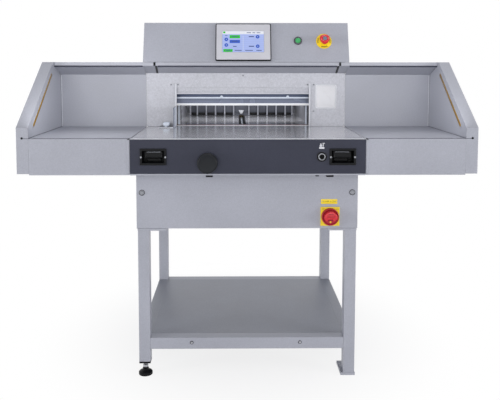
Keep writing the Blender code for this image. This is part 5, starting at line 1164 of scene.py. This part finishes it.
world = bpy.data.worlds.new("studioWorld")
bpy.context.scene.world = world
world.use_nodes = True
tree = world.node_tree
tree.nodes.clear()
even = addNode(tree, "Background", {"Color": hexColour(studio["worldTint"]), "Strength": studio["worldLight"]})
white = addNode(tree, "Background", {"Color": (1, 1, 1, 1), "Strength": 1.0})
both = addNode(tree, "MixShader", {0: seenRays(tree), 1: even.outputs[0], 2: white.outputs[0]})
addNode(tree, "OutputWorld", {"Surface": both.outputs[0]})

bmesh.ops.create_circle(bm, cap_ends=True, segments=96, radius=studio["floorRadius"])
floorMesh = bpy.data.meshes.new("floor")
bm.to_mesh(floorMesh)
bm.free()
floor = addObject("floor", floorMesh)
# white studio sweep: matt paper that keeps the soft shadow, and glows as white to the camera
floorPaper, tree = emptyMaterial("studioPaper")
place = addNode(tree, "TexCoord").outputs["Object"]
fibres = addNode(tree, "TexNoise", {"Vector": place, "Scale": 250.0, "Detail": 2.0}).outputs["Fac"]
paper = mixed(tree, fibres, hexColour(studio["floorTint"], 0.97), hexColour(studio["floorTint"], 1.03))
away = addNode(tree, "VectorMath", {0: place}, operation="LENGTH").outputs["Value"]
fade = ranged(tree, away, *studio["floorFade"], studio["floorGlow"], 1.0, interpolation_type="SMOOTHSTEP")
matt = addNode(tree, "BsdfDiffuse", {"Color": paper}).outputs[0]
glow = addNode(tree, "Emission", {"Color": (1, 1, 1, 1), "Strength": 1.0})
shown = addNode(tree, "MixShader", {0: fade, 1: matt, 2: glow.outputs[0]})
both = addNode(tree, "MixShader", {0: seenRays(tree), 1: matt, 2: shown.outputs[0]})
addNode(tree, "OutputMaterial", {"Surface": both.outputs[0]})
floorMesh.materials.append(floorPaper)
floor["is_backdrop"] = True

for name, power, size, place, target in lamps:
    lamp = bpy.data.lights.new(name + "Light", "AREA")
    lamp.shape = "RECTANGLE"
    lamp.size, lamp.size_y = size
    lamp.energy = power
    holder = addObject(name + "Light", lamp)
    holder.location = place
    holder.rotation_euler = (Vector(target) - holder.location).to_track_quat("-Z", "Y").to_euler()
    holder.visible_camera = False
    if name in unmirrored:
        holder.visible_glossy = False

camera = {
    "place": (-0.0463, -2.6008, 1.1239),
    "pitch": 4.152,            # degrees down
    "yaw": -0.666,             # degrees to the left
    "roll": 0.04,
    "lens": 45.573,
    "shift": (0.0169, -0.18),
}
lensData = bpy.data.cameras.new("photoCamera")
lensData.lens = camera["lens"]
lensData.sensor_width = 36.0
lensData.shift_x, lensData.shift_y = camera["shift"]
lensData.clip_start, lensData.clip_end = 0.05, 60.0
eye = addObject("photoCamera", lensData)
turn = spun(camera["yaw"]) @ spun(90 - camera["pitch"], "X") @ spun(camera["roll"])
eye.matrix_world = Matrix.Translation(camera["place"]) @ turn
bpy.context.scene.camera = eye
bpy.context.scene.view_settings.view_transform = "Standard"
print("studio ready")

low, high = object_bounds()
